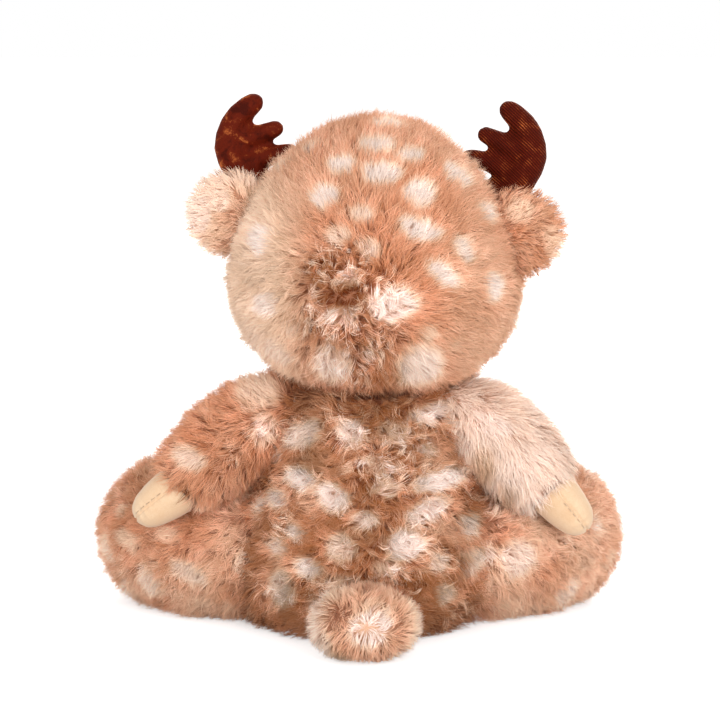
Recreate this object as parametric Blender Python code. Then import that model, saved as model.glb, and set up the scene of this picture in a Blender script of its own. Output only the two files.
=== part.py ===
"""A seated plush deer, built as it is sewn and stuffed.

Lengths are in metres and +Z is up. The toy faces -Y, so its left side is at +X. The origin is
on the floor, under the middle of the seat.
"""
import math

import bmesh
import bpy
from mathutils import Matrix, Vector
from mathutils.bvhtree import BVHTree

# Clearances
seam_gap = 0.0003
ball_gap = 0.0006
neck_gap = 0.0008
form_gap = 0.0005
overrun = 0.02

# Facets
body_sides = 28
limb_sides = 20
small_sides = 16
ball_sides = 20
ball_rings = 10
dome_steps = 5

# Torso, measured over the stuffing
torso_height = 0.141
torso_half_width = 0.061
torso_front = 0.052
torso_back = 0.073
torso_lean_share = -0.0426
torso_lift = 0.0012
torso_rings = 14

# Seat: the flat base panel and the weight bag above it
seat_half_width = 0.042
seat_front = 0.030
seat_back = 0.054
seat_thickness = 0.005
pouch_radius = 0.024
pouch_centre_y = 0.026
pouch_height = 0.028
pouch_foot_share = 0.96
pouch_edge_share = 0.2
pouch_dome_share = 0.5

# Neck plug
neck_x = -0.0066
neck_y = 0.004
neck_z = 0.126
neck_radius = 0.022
head_turn_at_rest = -6.5
head_tilt_at_rest = -1.4
head_nod_range = (-6.0, 6.0)
bowl_top_share = 0.1

# Head, its centre measured from the neck plug
head_half_width = 0.0716
head_half_height = 0.0692
head_front = 0.066
head_back = 0.068
head_above_neck = 0.0652
head_rings = 14
head_sag_share = 0.15

# Muzzle and nose
muzzle_half_width = 0.026
muzzle_half_depth = 0.024
muzzle_half_height = 0.0185
muzzle_forward_share = 0.85
muzzle_drop_share = 0.23
muzzle_rings = 10
nose_half_width = 0.0085
nose_half_depth = 0.0055
nose_half_height = 0.0060
nose_rise = 0.0075
nose_rings = 8

# Safety eyes
eye_radius = 0.0072
eye_dome = 0.0052
eye_spread_share = 0.40
eye_rise_share = 0.09
eye_sink = 0.0012
eye_seat_gap = 0.0004
shank_radius = 0.0016
shank_length = 0.0112
washer_radius = 0.0058
washer_thickness = 0.0016
washer_depth = 0.0072
eye_pocket_depth = 0.0125

# Ears
ear_reach = 0.0215
ear_half_width = 0.0215
ear_half_thickness = 0.0062
ear_out_share = 0.95
ear_back = 0.0125
left_ear_rise_share = 0.27
right_ear_rise_share = 0.21
ear_lobe_out = 0.0065
ear_rings = 10
ear_root_radius = 0.0052
ear_root_half_length = 0.0130
ear_root_rings = 8
ear_fold_range = (0.0, 20.0)
lining_reach = 0.0180
lining_half_width = 0.0178
lining_half_thickness = 0.0042
lining_forward = 0.0040
lining_out = 0.0030
lining_rings = 8

# Antlers
antler_root_radius = 0.0092
antler_base_radius = 0.0110
antler_tip_radius = 0.0056
antler_tine_root_radius = 0.0060
antler_tine_radius = 0.0047
antler_height = 0.0472
antler_bow = 0.0186
antler_root_out_share = 0.84
antler_root_rise_share = 0.485
antler_root_y = -0.0060
antler_flatness_share = 0.92
antler_voxel = 0.0016
antler_soften_steps = 2
antler_detail_share = 0.17
antler_lean_range = (0.0, 12.0)
beam_rings = 16
beam_round_share = 0.12
tine_rings = 10
tine_start_round_share = 0.20
tine_end_round_share = 0.24

# Arms
arm_pivot_out = 0.046
arm_pivot_y = 0.006
arm_pivot_z = 0.111
arm_ball_radius = 0.0185
arm_radius = 0.0218
arm_bend = 0.004
arm_rings = 12
arm_start_round_share = 0.15
arm_end_round_share = 0.18
arm_lift_range = (0.0, 40.0)
wrist_radius = 0.0158
wrist_y = 0.019
left_wrist_out = 0.0950
left_wrist_z = 0.0715
right_wrist_out = 0.1000
right_wrist_z = 0.0700

# Hooves of the arms
hoof_radius = 0.0142
hoof_y = 0.021
left_hoof_out = 0.1165
left_hoof_z = 0.0560
right_hoof_out = 0.1180
right_hoof_z = 0.0500
hoof_overlap = 0.008
hoof_rings = 9
hoof_start_round_share = 0.20
hoof_end_round_share = 0.30
hoof_taper_share = 0.45

# Legs
leg_pivot_out = 0.060
leg_pivot_y = -0.004
leg_ball_radius = 0.0335
leg_press = 0.0005
leg_radius = 0.0385
leg_rings = 13
leg_start_round_share = 0.15
leg_end_round_share = 0.22
leg_close_range = (0.0, 15.0)
left_leg_size_share = 1.0
right_leg_size_share = 0.975
knee_out = 0.082
knee_y = -0.026
shin_out = 0.0995
shin_y = -0.050
shin_drop = 0.0004
ankle_out = 0.1060
ankle_y = -0.078
ankle_drop = 0.0075
ankle_radius = 0.0290

# Hooves of the legs
leg_hoof_radius = 0.0240
leg_hoof_length = 0.036
leg_hoof_out = 0.002
leg_hoof_tip_z = 0.0215
leg_hoof_overlap = 0.014

# Tail
tail_x = -0.002
tail_pivot_y = 0.0705
tail_pivot_z = 0.022
tail_ball_radius = 0.0075
tail_half_width = 0.0255
tail_half_depth = 0.0220
tail_half_height = 0.0160
tail_out = 0.0260
tail_centre_z = 0.0175
tail_rings = 12
tail_wag_range = (-15.0, 15.0)

# Height, half width, front and back of the torso, from the seat to the neck
torso_shares = (
    (-0.020, 0.000, 0.000, 0.000),
    (-0.012, 0.620, 0.620, 0.620),
    (0.025, 0.850, 0.850, 0.830),
    (0.115, 0.975, 0.970, 0.965),
    (0.245, 1.000, 1.000, 1.000),
    (0.400, 0.965, 0.965, 0.920),
    (0.570, 0.865, 0.890, 0.775),
    (0.730, 0.765, 0.800, 0.650),
    (0.860, 0.670, 0.700, 0.560),
    (0.945, 0.500, 0.540, 0.430),
    (0.985, 0.270, 0.300, 0.240),
    (1.000, 0.000, 0.000, 0.000),
)

# Paths of the antler's beam and tines from its root: shares of its bow outward and of its height
beam_path_shares = ((0.15, -0.12), (0.62, 0.17), (1.00, 0.43), (0.80, 0.75), (0.08, 1.00))
middle_tine_shares = ((0.75, 0.48), (0.10, 0.59), (-0.55, 0.685))
lower_tine_shares = ((0.55, 0.25), (-0.20, 0.35), (-0.97, 0.43))

# Radius along each limb: place along the limb, share of the limb's swell, share of its end
arm_radius_shares = ((0.0, 0.88, 0.0), (0.3, 1.0, 0.0), (0.6, 0.95, 0.0), (1.0, 0.0, 1.0))
leg_radius_shares = ((0.0, 0.92, 0.0), (0.35, 1.0, 0.0), (0.7, 0.98, 0.0), (1.0, 0.0, 1.0))

# Wrist and hoof tip of each arm, path of a leg after its hip, size of each leg, rise of each ear
wrists = {
    "left": (left_wrist_out, wrist_y, left_wrist_z),
    "right": (-right_wrist_out, wrist_y, right_wrist_z),
}
hoof_tips = {
    "left": (left_hoof_out, hoof_y, left_hoof_z),
    "right": (-right_hoof_out, hoof_y, right_hoof_z),
}
leg_path = ((knee_out, knee_y, 0), (shin_out, shin_y, shin_drop), (ankle_out, ankle_y, ankle_drop))
leg_size_shares = {"left": left_leg_size_share, "right": right_leg_size_share}
ear_rise_shares = {"left": left_ear_rise_share, "right": right_ear_rise_share}

colours = {
    "fur": (0.61, 0.33, 0.17),
    "lining": (0.86, 0.68, 0.44),
    "suede": (0.84, 0.65, 0.40),
    "velvet": (0.13, 0.018, 0.004),
    "plastic": (0.010, 0.007, 0.006),
    "washer": (0.75, 0.75, 0.72),
    "nose": (0.05, 0.018, 0.012),
    "base": (0.55, 0.33, 0.19),
    "pouch": (0.78, 0.76, 0.70),
}
roughness = {"velvet": 0.7, "plastic": 0.12, "washer": 0.45}
cloth_roughness = 0.9

up = Vector((0, 0, 1))
sideways = Vector((1, 0, 0))
backward = Vector((0, 1, 0))


def clear_scene():
    """Remove whatever objects the scene starts with."""
    for item in list(bpy.data.objects):
        bpy.data.objects.remove(item, do_unlink=True)


def material(name, kind):
    """A plain material for one piece."""
    made = bpy.data.materials.new(name)
    made.use_nodes = True
    shader = made.node_tree.nodes["Principled BSDF"]
    shader.inputs["Base Color"].default_value = (*colours[kind], 1)
    shader.inputs["Roughness"].default_value = roughness.get(kind, cloth_roughness)
    shader.inputs["Metallic"].default_value = 0
    return made


def make(name, bm, kind=None, origin=(0, 0, 0), parent=None):
    """Turn a bmesh in its parent's frame into an object whose origin is on its joint axis."""
    bmesh.ops.recalc_face_normals(bm, faces=bm.faces)
    bmesh.ops.translate(bm, verts=bm.verts, vec=-Vector(origin))
    mesh = bpy.data.meshes.new(name)
    bm.to_mesh(mesh)
    bm.free()
    mesh.shade_smooth()
    item = bpy.data.objects.new(name, mesh)
    item.location = origin
    item.parent = parent
    bpy.context.collection.objects.link(item)
    if kind:
        mesh.materials.append(material(name, kind))
    else:
        item.hide_render = True
        item.display_type = "WIRE"
    return item


def boolean(item, cutters, operation="DIFFERENCE"):
    """Cut or join a piece by each of the guides."""
    for cutter in cutters:
        step = item.modifiers.new(cutter.name, "BOOLEAN")
        step.operation = operation
        step.object = cutter


def placed(guide, matrix):
    """A guide moved by a matrix in world space."""
    copy = guide.copy()
    copy.parent = None
    bpy.context.collection.objects.link(copy)
    copy.matrix_world = matrix @ guide.matrix_world
    return copy


def swing(pivot, axis, degrees):
    """The matrix of a turn about an axis through a pivot."""
    turn = Matrix.Rotation(math.radians(degrees), 4, axis)
    return Matrix.Translation(pivot) @ turn @ Matrix.Translation(-Vector(pivot))


def swept(guide, pivot, axis, limits):
    """The guide as a piece that swings between the limits meets it: at rest, half way, at each end."""
    low, high = limits
    angles = sorted({low, 0.0, high / 2, high})
    return [placed(guide, swing(pivot, axis, -angle)) for angle in angles]


def facing(axis):
    """The turn that brings +Z onto an axis."""
    return up.rotation_difference(Vector(axis)).to_matrix().to_4x4()


def through(rows, share):
    """A smooth curve through rows of numbers, read at a share of the way along it."""
    place = min(max(share, 0.0), 1.0) * (len(rows) - 1)
    k = min(int(place), len(rows) - 2)
    f = place - k
    p0 = rows[max(k - 1, 0)]
    p1 = rows[k]
    p2 = rows[k + 1]
    p3 = rows[min(k + 2, len(rows) - 1)]
    return [
        0.5 * (2 * b + (c - a) * f + (2 * a - 5 * b + 4 * c - d) * f * f + (3 * b - a - 3 * c + d) * f ** 3)
        for a, b, c, d in zip(p0, p1, p2, p3)
    ]


def heading(rows, share):
    """The direction of the curve at a share of the way along it."""
    nearby = 1 / (len(rows) * dome_steps * ball_sides)
    ahead = Vector(through(rows, share + nearby)) - Vector(through(rows, share - nearby))
    return ahead.normalized()


def table(rows, share):
    """Read a table whose first column is the place along it."""
    for low, high in zip(rows, rows[1:]):
        if share <= high[0]:
            f = (share - low[0]) / (high[0] - low[0])
            ease = f * f * (3 - 2 * f)
            return [a + (b - a) * ease for a, b in zip(low[1:], high[1:])]
    return rows[-1][1:]


def loft(rings, start, end):
    """A closed bmesh through rings of points, ended by a point at each side."""
    bm = bmesh.new()
    first = bm.verts.new(start)
    loops = [[bm.verts.new(point) for point in ring] for ring in rings]
    last = bm.verts.new(end)
    count = len(loops[0])
    for i in range(count):
        j = (i + 1) % count
        bm.faces.new((first, loops[0][j], loops[0][i]))
        bm.faces.new((last, loops[-1][i], loops[-1][j]))
        for low, high in zip(loops, loops[1:]):
            bm.faces.new((low[i], low[j], high[j], high[i]))
    bmesh.ops.recalc_face_normals(bm, faces=bm.faces)
    return bm


def grown(bm, gap):
    """Push every point of a form outward by a gap."""
    bm.normal_update()
    for vert in bm.verts:
        vert.co += vert.normal * gap
    return bm


def circle(sides):
    """The cosine and sine of each corner of a ring."""
    angles = [2 * math.pi * i / sides for i in range(sides)]
    return [(math.cos(angle), math.sin(angle)) for angle in angles]


def oval(centre, half_width, front, back, sides):
    """A level ring whose front and back halves have their own depth."""
    return [
        centre + Vector((half_width * x, (back if y > 0 else front) * y, 0)) for x, y in circle(sides)
    ]


def dome(radius, low, high):
    """Radii and heights of a quarter round, from above its rim to its middle."""
    angles = [math.pi / 2 * k / dome_steps for k in range(1, dome_steps)]
    rise = high - low
    return [(radius * math.cos(a), low + rise * math.sin(a)) for a in angles] + [(0, high)]


def torso_form(gap=0.0):
    """The pear shaped body, from the seat to the neck."""
    rings = []
    for k in range(1, torso_rings):
        z, width, front, back = through(torso_shares, k / torso_rings)
        rings.append(oval(
            torso_middle(torso_height * z), torso_half_width * width, torso_front * front,
            torso_back * back, body_sides,
        ))
    low, high = torso_shares[0][0], torso_shares[-1][0]
    return grown(loft(rings, torso_middle(torso_height * low), torso_middle(torso_height * high)), gap)


def torso_middle(z):
    """The middle of the leaning torso at a height."""
    return Vector((torso_lean_share * z, 0, z))


def egg_share(angle):
    """The share of the head's width at an angle above its middle."""
    return math.cos(angle) * (1 - head_sag_share * math.sin(angle))


def round_form(centre, halves, axis=(0, 0, 1), sides=small_sides, rings=ball_rings, gap=0.0):
    """An ellipsoid whose poles lie along an axis."""
    bm = bmesh.new()
    bmesh.ops.create_uvsphere(bm, u_segments=sides, v_segments=rings, radius=1)
    bmesh.ops.scale(bm, vec=Vector(halves), verts=bm.verts)
    bmesh.ops.transform(bm, matrix=Matrix.Translation(centre) @ facing(axis), verts=bm.verts)
    bmesh.ops.recalc_face_normals(bm, faces=bm.faces)
    return grown(bm, gap)


def ball(centre, radius, axis, gap=0.0):
    """A root ball, or with a gap its socket, whose facets run round the hinge axis."""
    size = radius + gap
    return round_form(centre, (size, size, size), axis, ball_sides, ball_rings)


def limb_form(path, radius_at, sides, rings, start_share, end_share, flat_share=1.0, gap=0.0):
    """A stuffed tube along a smooth path, rounded over a share of its length at each end."""
    loops = []
    rows = [tuple(point) for point in path]
    for k in range(1, rings):
        share = (1 - math.cos(math.pi * k / rings)) / 2
        centre = Vector(through(rows, share))
        ahead = heading(rows, share)
        across = ahead.cross(backward).normalized()
        deep = across.cross(ahead) * flat_share
        radius = radius_at(share)
        if share < start_share:
            radius *= math.sqrt(1 - (1 - share / start_share) ** 2)
        if share > 1 - end_share:
            radius *= math.sqrt(1 - ((share - 1 + end_share) / end_share) ** 2)
        loops.append([centre + (across * x + deep * y) * radius for x, y in circle(sides)])
    return grown(loft(loops, rows[0], rows[-1]), gap)


def turned_profile(points, centre, axis, sides=small_sides):
    """A solid turned about an axis from (radius, height) points that start and end on the axis."""
    rings = [[Vector((radius * x, radius * y, height)) for x, y in circle(sides)]
             for radius, height in points[1:-1]]
    bm = loft(rings, Vector((0, 0, points[0][1])), Vector((0, 0, points[-1][1])))
    bmesh.ops.transform(bm, matrix=Matrix.Translation(centre) @ facing(axis), verts=bm.verts)
    return bm


def floor_guide(name, level):
    """The floor up to a level, as a block that trims the undersides flat."""
    reach = torso_half_width + torso_height
    bm = bmesh.new()
    bmesh.ops.create_cube(bm, size=1)
    bmesh.ops.scale(bm, vec=(2 * reach, 2 * reach, reach + level), verts=bm.verts)
    bmesh.ops.translate(bm, vec=(0, 0, (level - reach) / 2), verts=bm.verts)
    return make(name, bm)


def seat_slab(low, high, gap):
    """A slab with the seat panel's oval outline."""
    middle = (seat_back - seat_front) / 2
    depth = (seat_back + seat_front) / 2 + gap
    rings = [
        oval(Vector((0, middle, z)), seat_half_width + gap, depth, depth, body_sides) for z in (low, high)
    ]
    return loft(rings, (0, middle, low), (0, middle, high))


def pouch_form(low, gap):
    """The weight bag: flat underneath, straight sided, domed on top."""
    radius = pouch_radius + gap
    top = seat_thickness + seam_gap + pouch_height + gap
    shoulder = top - radius * pouch_dome_share
    edge = low + (shoulder - low) * pouch_edge_share
    points = [(0, low), (radius * pouch_foot_share, low), (radius, edge), (radius, shoulder)]
    points += dome(radius, shoulder, top)
    return turned_profile(points, Vector((0, pouch_centre_y, 0)), up, limb_sides)


def hoof_form(start, tip, radius):
    """A hoof: full at the fur, drawn in to a blunt point."""
    return limb_form(
        (start, (start + tip) / 2, tip), lambda share: radius * (1 - hoof_taper_share * share ** 2),
        small_sides, hoof_rings, hoof_start_round_share, hoof_end_round_share,
    )


class Deer:
    """The toy's pieces and the guides that shape them, built from the largest to the smallest."""

    def __init__(self):
        self.ground = floor_guide("ground_guide", 0)
        self.neck_place = Vector((neck_x, neck_y, neck_z))
        self.neck_joint = bpy.data.objects.new("neck_joint", None)
        self.neck_joint.location = self.neck_place
        self.head_joint = bpy.data.objects.new("head_joint", None)
        tilt = Matrix.Rotation(math.radians(head_tilt_at_rest), 4, "Y")
        turn = Matrix.Rotation(math.radians(head_turn_at_rest), 4, "Z")
        self.head_joint.matrix_world = Matrix.Translation(self.neck_place) @ turn @ tilt
        for empty in (self.neck_joint, self.head_joint):
            bpy.context.collection.objects.link(empty)
        self.head_centre = Vector((0, 0, head_above_neck))
        self.torso_guide = make("torso_guide", torso_form(form_gap))
        self.head_guide = self.head_piece("head_guide", self.head_form(form_gap))
        self.bowl = make("head_bowl", self.bowl_form())
        bpy.context.view_layer.update()

    def head_piece(self, name, bm, kind=None, origin=(0, 0, 0)):
        """A piece or guide that moves with the head, given in the head's own frame."""
        return make(name, bm, kind, origin, self.head_joint)

    def head_form(self, gap=0.0):
        """The head's stuffed ball: round, narrower toward its crown and widest below its middle."""
        loops = []
        for k in range(1, head_rings):
            angle = math.pi * (k / head_rings - 0.5)
            size = egg_share(angle)
            middle = self.head_centre + up * head_half_height * math.sin(angle)
            loops.append(oval(
                middle, head_half_width * size, head_front * size, head_back * size, body_sides,
            ))
        top = up * head_half_height
        return grown(loft(loops, self.head_centre - top, self.head_centre + top), gap)

    def bowl_form(self):
        """The room that the underside of the head sweeps, however it is turned and nodded."""
        reach = max(head_half_width, head_front, head_back)
        nod = math.radians(max(abs(limit) for limit in head_nod_range))
        rings = []
        for k in range(1, head_rings):
            angle = math.pi / 2 * (k / head_rings * (1 + bowl_top_share) - 1)
            radius = reach * egg_share(angle)
            height = head_above_neck + head_half_height * math.sin(angle)
            wide = radius * math.cos(nod) + height * math.sin(nod)
            level = height * math.cos(nod) - radius * math.sin(nod)
            rings.append(oval(self.neck_place + up * level, wide, wide, wide, body_sides))
        low = self.neck_place + up * (head_above_neck - head_half_height)
        top = self.neck_place + up * (head_above_neck + head_half_height)
        return grown(loft(rings, low, top), form_gap)

    def build(self):
        """Build every piece."""
        self.torso = make("torso", torso_form(), "fur")
        self.head = self.head_piece("head", self.head_form(), "fur")
        self.build_seat()
        self.build_neck()
        self.build_muzzle()
        for side, name in ((1, "left"), (-1, "right")):
            self.build_eye(side, name)
            self.build_ear(side, name)
            self.build_antler(side, name)
            self.build_arm(side, name)
            self.build_leg(side, name)
        self.build_tail()

    def build_seat(self):
        """The seat panel in its recess and the weight bag in its pocket."""
        make("seat_panel", seat_slab(0, seat_thickness, 0), "base")
        make("pellet_pouch", pouch_form(seat_thickness + seam_gap, 0), "pouch")
        trim = floor_guide("torso_trim", torso_lift)
        recess = make("seat_recess", seat_slab(-overrun, seat_thickness + seam_gap, seam_gap))
        pocket = make("pouch_pocket", pouch_form(-overrun, form_gap))
        boolean(self.torso, [trim, recess, pocket])

    def build_neck(self):
        """The neck plug, and the sockets and dish that it and the head move in."""
        make("neck", ball(self.neck_place, neck_radius, up), "fur", self.neck_place)
        socket = make("neck_socket", ball(self.neck_place, neck_radius, up, neck_gap))
        boolean(self.torso, [socket, self.bowl])
        boolean(self.head, [self.head_piece(
            "head_socket", ball((0, 0, 0), neck_radius, sideways, neck_gap),
        )])

    def build_muzzle(self):
        """The muzzle, sewn onto the head, and the nose on its tip."""
        forward = head_front * muzzle_forward_share
        centre = self.head_centre - Vector((0, forward, head_half_height * muzzle_drop_share))
        halves = (muzzle_half_width, muzzle_half_depth, muzzle_half_height)
        muzzle = self.head_piece("muzzle", round_form(centre, halves, rings=muzzle_rings), "lining")
        boolean(muzzle, [self.head_guide])
        guide = self.head_piece(
            "muzzle_guide", round_form(centre, halves, rings=muzzle_rings, gap=seam_gap),
        )
        place = centre + Vector((0, -muzzle_half_depth + nose_half_depth / 2, nose_rise))
        halves = (nose_half_width, nose_half_depth, nose_half_height)
        nose = self.head_piece("nose", round_form(place, halves, rings=nose_rings), "nose")
        boolean(nose, [guide])

    def head_surface(self, toward):
        """The place and outward direction where a line from the head's middle leaves it."""
        bm = self.head_form()
        tree = BVHTree.FromBMesh(bm)
        place, normal, _, _ = tree.ray_cast(self.head_centre, toward)
        bm.free()
        return place, normal

    def build_eye(self, side, name):
        """A domed eye on its shank, locked behind the cloth by a washer."""
        spread = side * head_half_width * eye_spread_share
        rise = head_half_height * eye_rise_share
        place, normal = self.head_surface(Vector((spread, -head_front, rise)))
        seat = place - normal * eye_sink
        points = [
            (0, -shank_length), (shank_radius, -shank_length), (shank_radius, eye_seat_gap),
            (eye_radius, eye_seat_gap), *dome(eye_radius, eye_seat_gap, eye_seat_gap + eye_dome),
        ]
        self.head_piece(f"eye_{name}", turned_profile(points, seat, normal), "plastic")
        self.head_piece(f"eye_washer_{name}", self.washer_form(seat, normal), "washer")
        bore = shank_radius + seam_gap
        room = washer_radius + form_gap
        rim = eye_radius + form_gap
        floor = -washer_depth + form_gap
        cutter = [
            (0, -eye_pocket_depth), (room, -eye_pocket_depth), (room, floor), (bore, floor),
            (bore, 0), (rim, 0), (rim, overrun), (0, overrun),
        ]
        pocket = self.head_piece(f"eye_pocket_{name}", turned_profile(cutter, seat, normal))
        boolean(self.head, [pocket])

    def washer_form(self, seat, normal):
        """A flat ring round the shank."""
        hole = shank_radius + seam_gap
        high = -washer_depth
        low = high - washer_thickness
        corners = ((hole, low), (washer_radius, low), (washer_radius, high), (hole, high))
        bm = bmesh.new()
        loops = [
            [bm.verts.new((radius * x, radius * y, height)) for radius, height in corners]
            for x, y in circle(small_sides)
        ]
        for here, there in zip(loops, loops[1:] + loops[:1]):
            for k in range(len(corners)):
                n = (k + 1) % len(corners)
                bm.faces.new((here[k], there[k], there[n], here[n]))
        bmesh.ops.transform(bm, matrix=Matrix.Translation(seat) @ facing(normal), verts=bm.verts)
        return bm

    def build_ear(self, side, name):
        """A fur lobe on a rolled root, with its lining let into the front."""
        reach = side * head_half_width * ear_out_share
        rise = head_half_height * ear_rise_shares[name]
        root = self.head_centre + Vector((reach, ear_back, rise))
        out = Vector((reach, 0, rise)).normalized()
        along = Vector((-out.z * side, 0, out.x * side))
        frame = Matrix((out, backward, along)).transposed().to_4x4()
        lobe = round_form(
            (ear_lobe_out, 0, 0), (ear_reach, ear_half_thickness, ear_half_width),
            sides=limb_sides, rings=ear_rings,
        )
        middle = (ear_lobe_out + lining_out, -lining_forward, 0)
        halves = (lining_reach, lining_half_thickness, lining_half_width)
        lining = round_form(middle, halves, rings=lining_rings)
        bed = round_form(middle, halves, rings=lining_rings, gap=seam_gap)
        for bm in (lobe, lining, bed):
            bmesh.ops.transform(bm, matrix=Matrix.Translation(root) @ frame, verts=bm.verts)
        ear = self.head_piece(f"ear_{name}", lobe, "fur", root)
        inner = self.head_piece(f"ear_lining_{name}", lining, "lining", root)
        recess = self.head_piece(f"ear_recess_{name}", bed)
        roll = self.head_piece(f"ear_root_{name}", self.ear_roll(root, along, 0))
        clear = self.head_piece(f"ear_roll_{name}", self.ear_roll(root, along, seam_gap))
        groove = self.head_piece(f"ear_groove_{name}", self.ear_roll(root, along, form_gap))
        bpy.context.view_layer.update()
        world = self.head_joint.matrix_world
        axis = world.to_3x3() @ along * side
        sweep = swept(self.head_guide, world @ root, axis, ear_fold_range)
        boolean(ear, [recess, *sweep])
        boolean(ear, [roll], "UNION")
        boolean(inner, [*sweep, clear])
        boolean(self.head, [groove])

    def ear_roll(self, root, along, gap):
        """The ear's rolled root, which is its hinge."""
        reach = along * ear_root_half_length
        share = ear_root_radius / (2 * ear_root_half_length)
        return limb_form(
            (root - reach, root, root + reach), lambda place: ear_root_radius, small_sides,
            ear_root_rings, share, share, gap=gap,
        )

    def build_antler(self, side, name):
        """A C shaped beam with three round tines, on a root ball."""
        reach = side * head_half_width * antler_root_out_share
        rise = head_half_height * antler_root_rise_share
        root = self.head_centre + Vector((reach, antler_root_y, rise))

        def branch(shares, first, last, rings, start_share, end_share):
            path = [root + Vector((side * antler_bow * x, 0, antler_height * z)) for x, z in shares]
            return limb_form(
                path, lambda share: first + (last - first) * share, limb_sides, rings,
                start_share, end_share, antler_flatness_share,
            )

        bm = branch(
            beam_path_shares, antler_base_radius, antler_tip_radius, beam_rings,
            beam_round_share, beam_round_share,
        )
        for shares in (middle_tine_shares, lower_tine_shares):
            tine = branch(
                shares, antler_tine_root_radius, antler_tine_radius, tine_rings,
                tine_start_round_share, tine_end_round_share,
            )
            mesh = bpy.data.meshes.new("tine")
            tine.to_mesh(mesh)
            tine.free()
            bm.from_mesh(mesh)
            bpy.data.meshes.remove(mesh)
        antler = self.head_piece(f"antler_{name}", bm, "velvet", root)
        blend = antler.modifiers.new("blend", "REMESH")
        blend.mode = "VOXEL"
        blend.voxel_size = antler_voxel
        soften = antler.modifiers.new("soften", "SMOOTH")
        soften.iterations = antler_soften_steps
        thin = antler.modifiers.new("thin", "DECIMATE")
        thin.ratio = antler_detail_share
        root_ball = self.head_piece(
            f"antler_root_{name}", ball(root, antler_root_radius, sideways),
        )
        socket = self.head_piece(
            f"antler_socket_{name}", ball(root, antler_root_radius, sideways, ball_gap),
        )
        bpy.context.view_layer.update()
        world = self.head_joint.matrix_world
        axis = world.to_3x3() @ sideways
        boolean(antler, swept(self.head_guide, world @ root, axis, antler_lean_range))
        boolean(antler, [root_ball], "UNION")
        boolean(self.head, [socket])

    def build_arm(self, side, name):
        """A fur arm that hangs from its shoulder onto the leg, and its suede hoof."""
        pivot = torso_middle(arm_pivot_z) + Vector((side * arm_pivot_out, arm_pivot_y, 0))
        wrist = Vector(wrists[name])
        tip = Vector(hoof_tips[name])
        path = (pivot, (pivot + wrist) / 2 + up * arm_bend, wrist)

        def sleeve(gap):
            return limb_form(
                path, radius_at, limb_sides, arm_rings, arm_start_round_share, arm_end_round_share,
                gap=gap,
            )

        def radius_at(share):
            swell, end = table(arm_radius_shares, share)
            return arm_radius * swell + wrist_radius * end

        arm = make(f"arm_{name}", sleeve(0), "fur", pivot)
        guide = make(f"arm_guide_{name}", sleeve(seam_gap))
        root_ball = make(f"arm_root_{name}", ball(pivot, arm_ball_radius, backward))
        socket = make(f"arm_socket_{name}", ball(pivot, arm_ball_radius, backward, ball_gap))
        axis = backward * -side
        boolean(arm, swept(self.torso_guide, pivot, axis, arm_lift_range))
        boolean(arm, [root_ball], "UNION")
        boolean(arm, swept(self.bowl, pivot, axis, arm_lift_range))
        boolean(self.torso, [socket])
        start = wrist - (tip - wrist).normalized() * hoof_overlap
        hoof = make(f"arm_hoof_{name}", hoof_form(start, tip, hoof_radius), "suede", pivot)
        boolean(hoof, [guide])

    def build_leg(self, side, name):
        """A thick fur leg that lies on the floor, and its suede hoof."""
        size = leg_size_shares[name]
        level = leg_radius * size - leg_press
        pivot = Vector((side * leg_pivot_out, leg_pivot_y, level))
        path = [pivot] + [Vector((side * x, y, level - drop * size)) for x, y, drop in leg_path]

        def sleeve(gap):
            return limb_form(
                path, radius_at, limb_sides, leg_rings, leg_start_round_share, leg_end_round_share,
                gap=gap,
            )

        def radius_at(share):
            swell, end = table(leg_radius_shares, share)
            return size * (leg_radius * swell + ankle_radius * end)

        leg = make(f"leg_{name}", sleeve(0), "fur", pivot)
        guide = make(f"leg_guide_{name}", sleeve(seam_gap))
        root_ball = make(f"leg_root_{name}", ball(pivot, leg_ball_radius, up))
        socket = make(f"leg_socket_{name}", ball(pivot, leg_ball_radius, up, ball_gap))
        boolean(leg, swept(self.torso_guide, pivot, up * -side, leg_close_range))
        boolean(leg, [root_ball], "UNION")
        boolean(leg, [self.ground])
        boolean(self.torso, [socket])
        ankle = path[-1]
        tip = Vector((ankle.x + side * leg_hoof_out, ankle.y - leg_hoof_length, leg_hoof_tip_z))
        start = ankle - (tip - ankle).normalized() * leg_hoof_overlap
        hoof = make(f"leg_hoof_{name}", hoof_form(start, tip, leg_hoof_radius), "suede", pivot)
        boolean(hoof, [guide, self.ground])

    def build_tail(self):
        """The pompon, on a root ball in the small of the back."""
        pivot = Vector((tail_x, tail_pivot_y, tail_pivot_z))
        centre = Vector((tail_x, tail_pivot_y + tail_out, tail_centre_z))
        halves = (tail_half_width, tail_half_depth, tail_half_height)
        tail = make(
            "tail", round_form(centre, halves, sides=limb_sides, rings=tail_rings), "fur", pivot,
        )
        root_ball = make("tail_root", ball(pivot, tail_ball_radius, up))
        socket = make("tail_socket", ball(pivot, tail_ball_radius, up, ball_gap))
        boolean(tail, swept(self.torso_guide, pivot, up, tail_wag_range))
        boolean(tail, [root_ball], "UNION")
        boolean(self.torso, [socket])


clear_scene()
Deer().build()
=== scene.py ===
"""Dresses a seated plush deer: stuffed cloth skins, long spotted pile, velvet antlers, suede
hooves and a stitched face. Lengths are in metres, +Z is up and the toy faces -Y.
"""
import logging
import math
from dataclasses import dataclass, field
from enum import Enum
from typing import Callable, Dict, List, Optional, Sequence, Tuple, Union

import bpy
import numpy as np
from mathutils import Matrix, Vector
from mathutils.bvhtree import BVHTree
from mathutils.kdtree import KDTree


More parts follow.
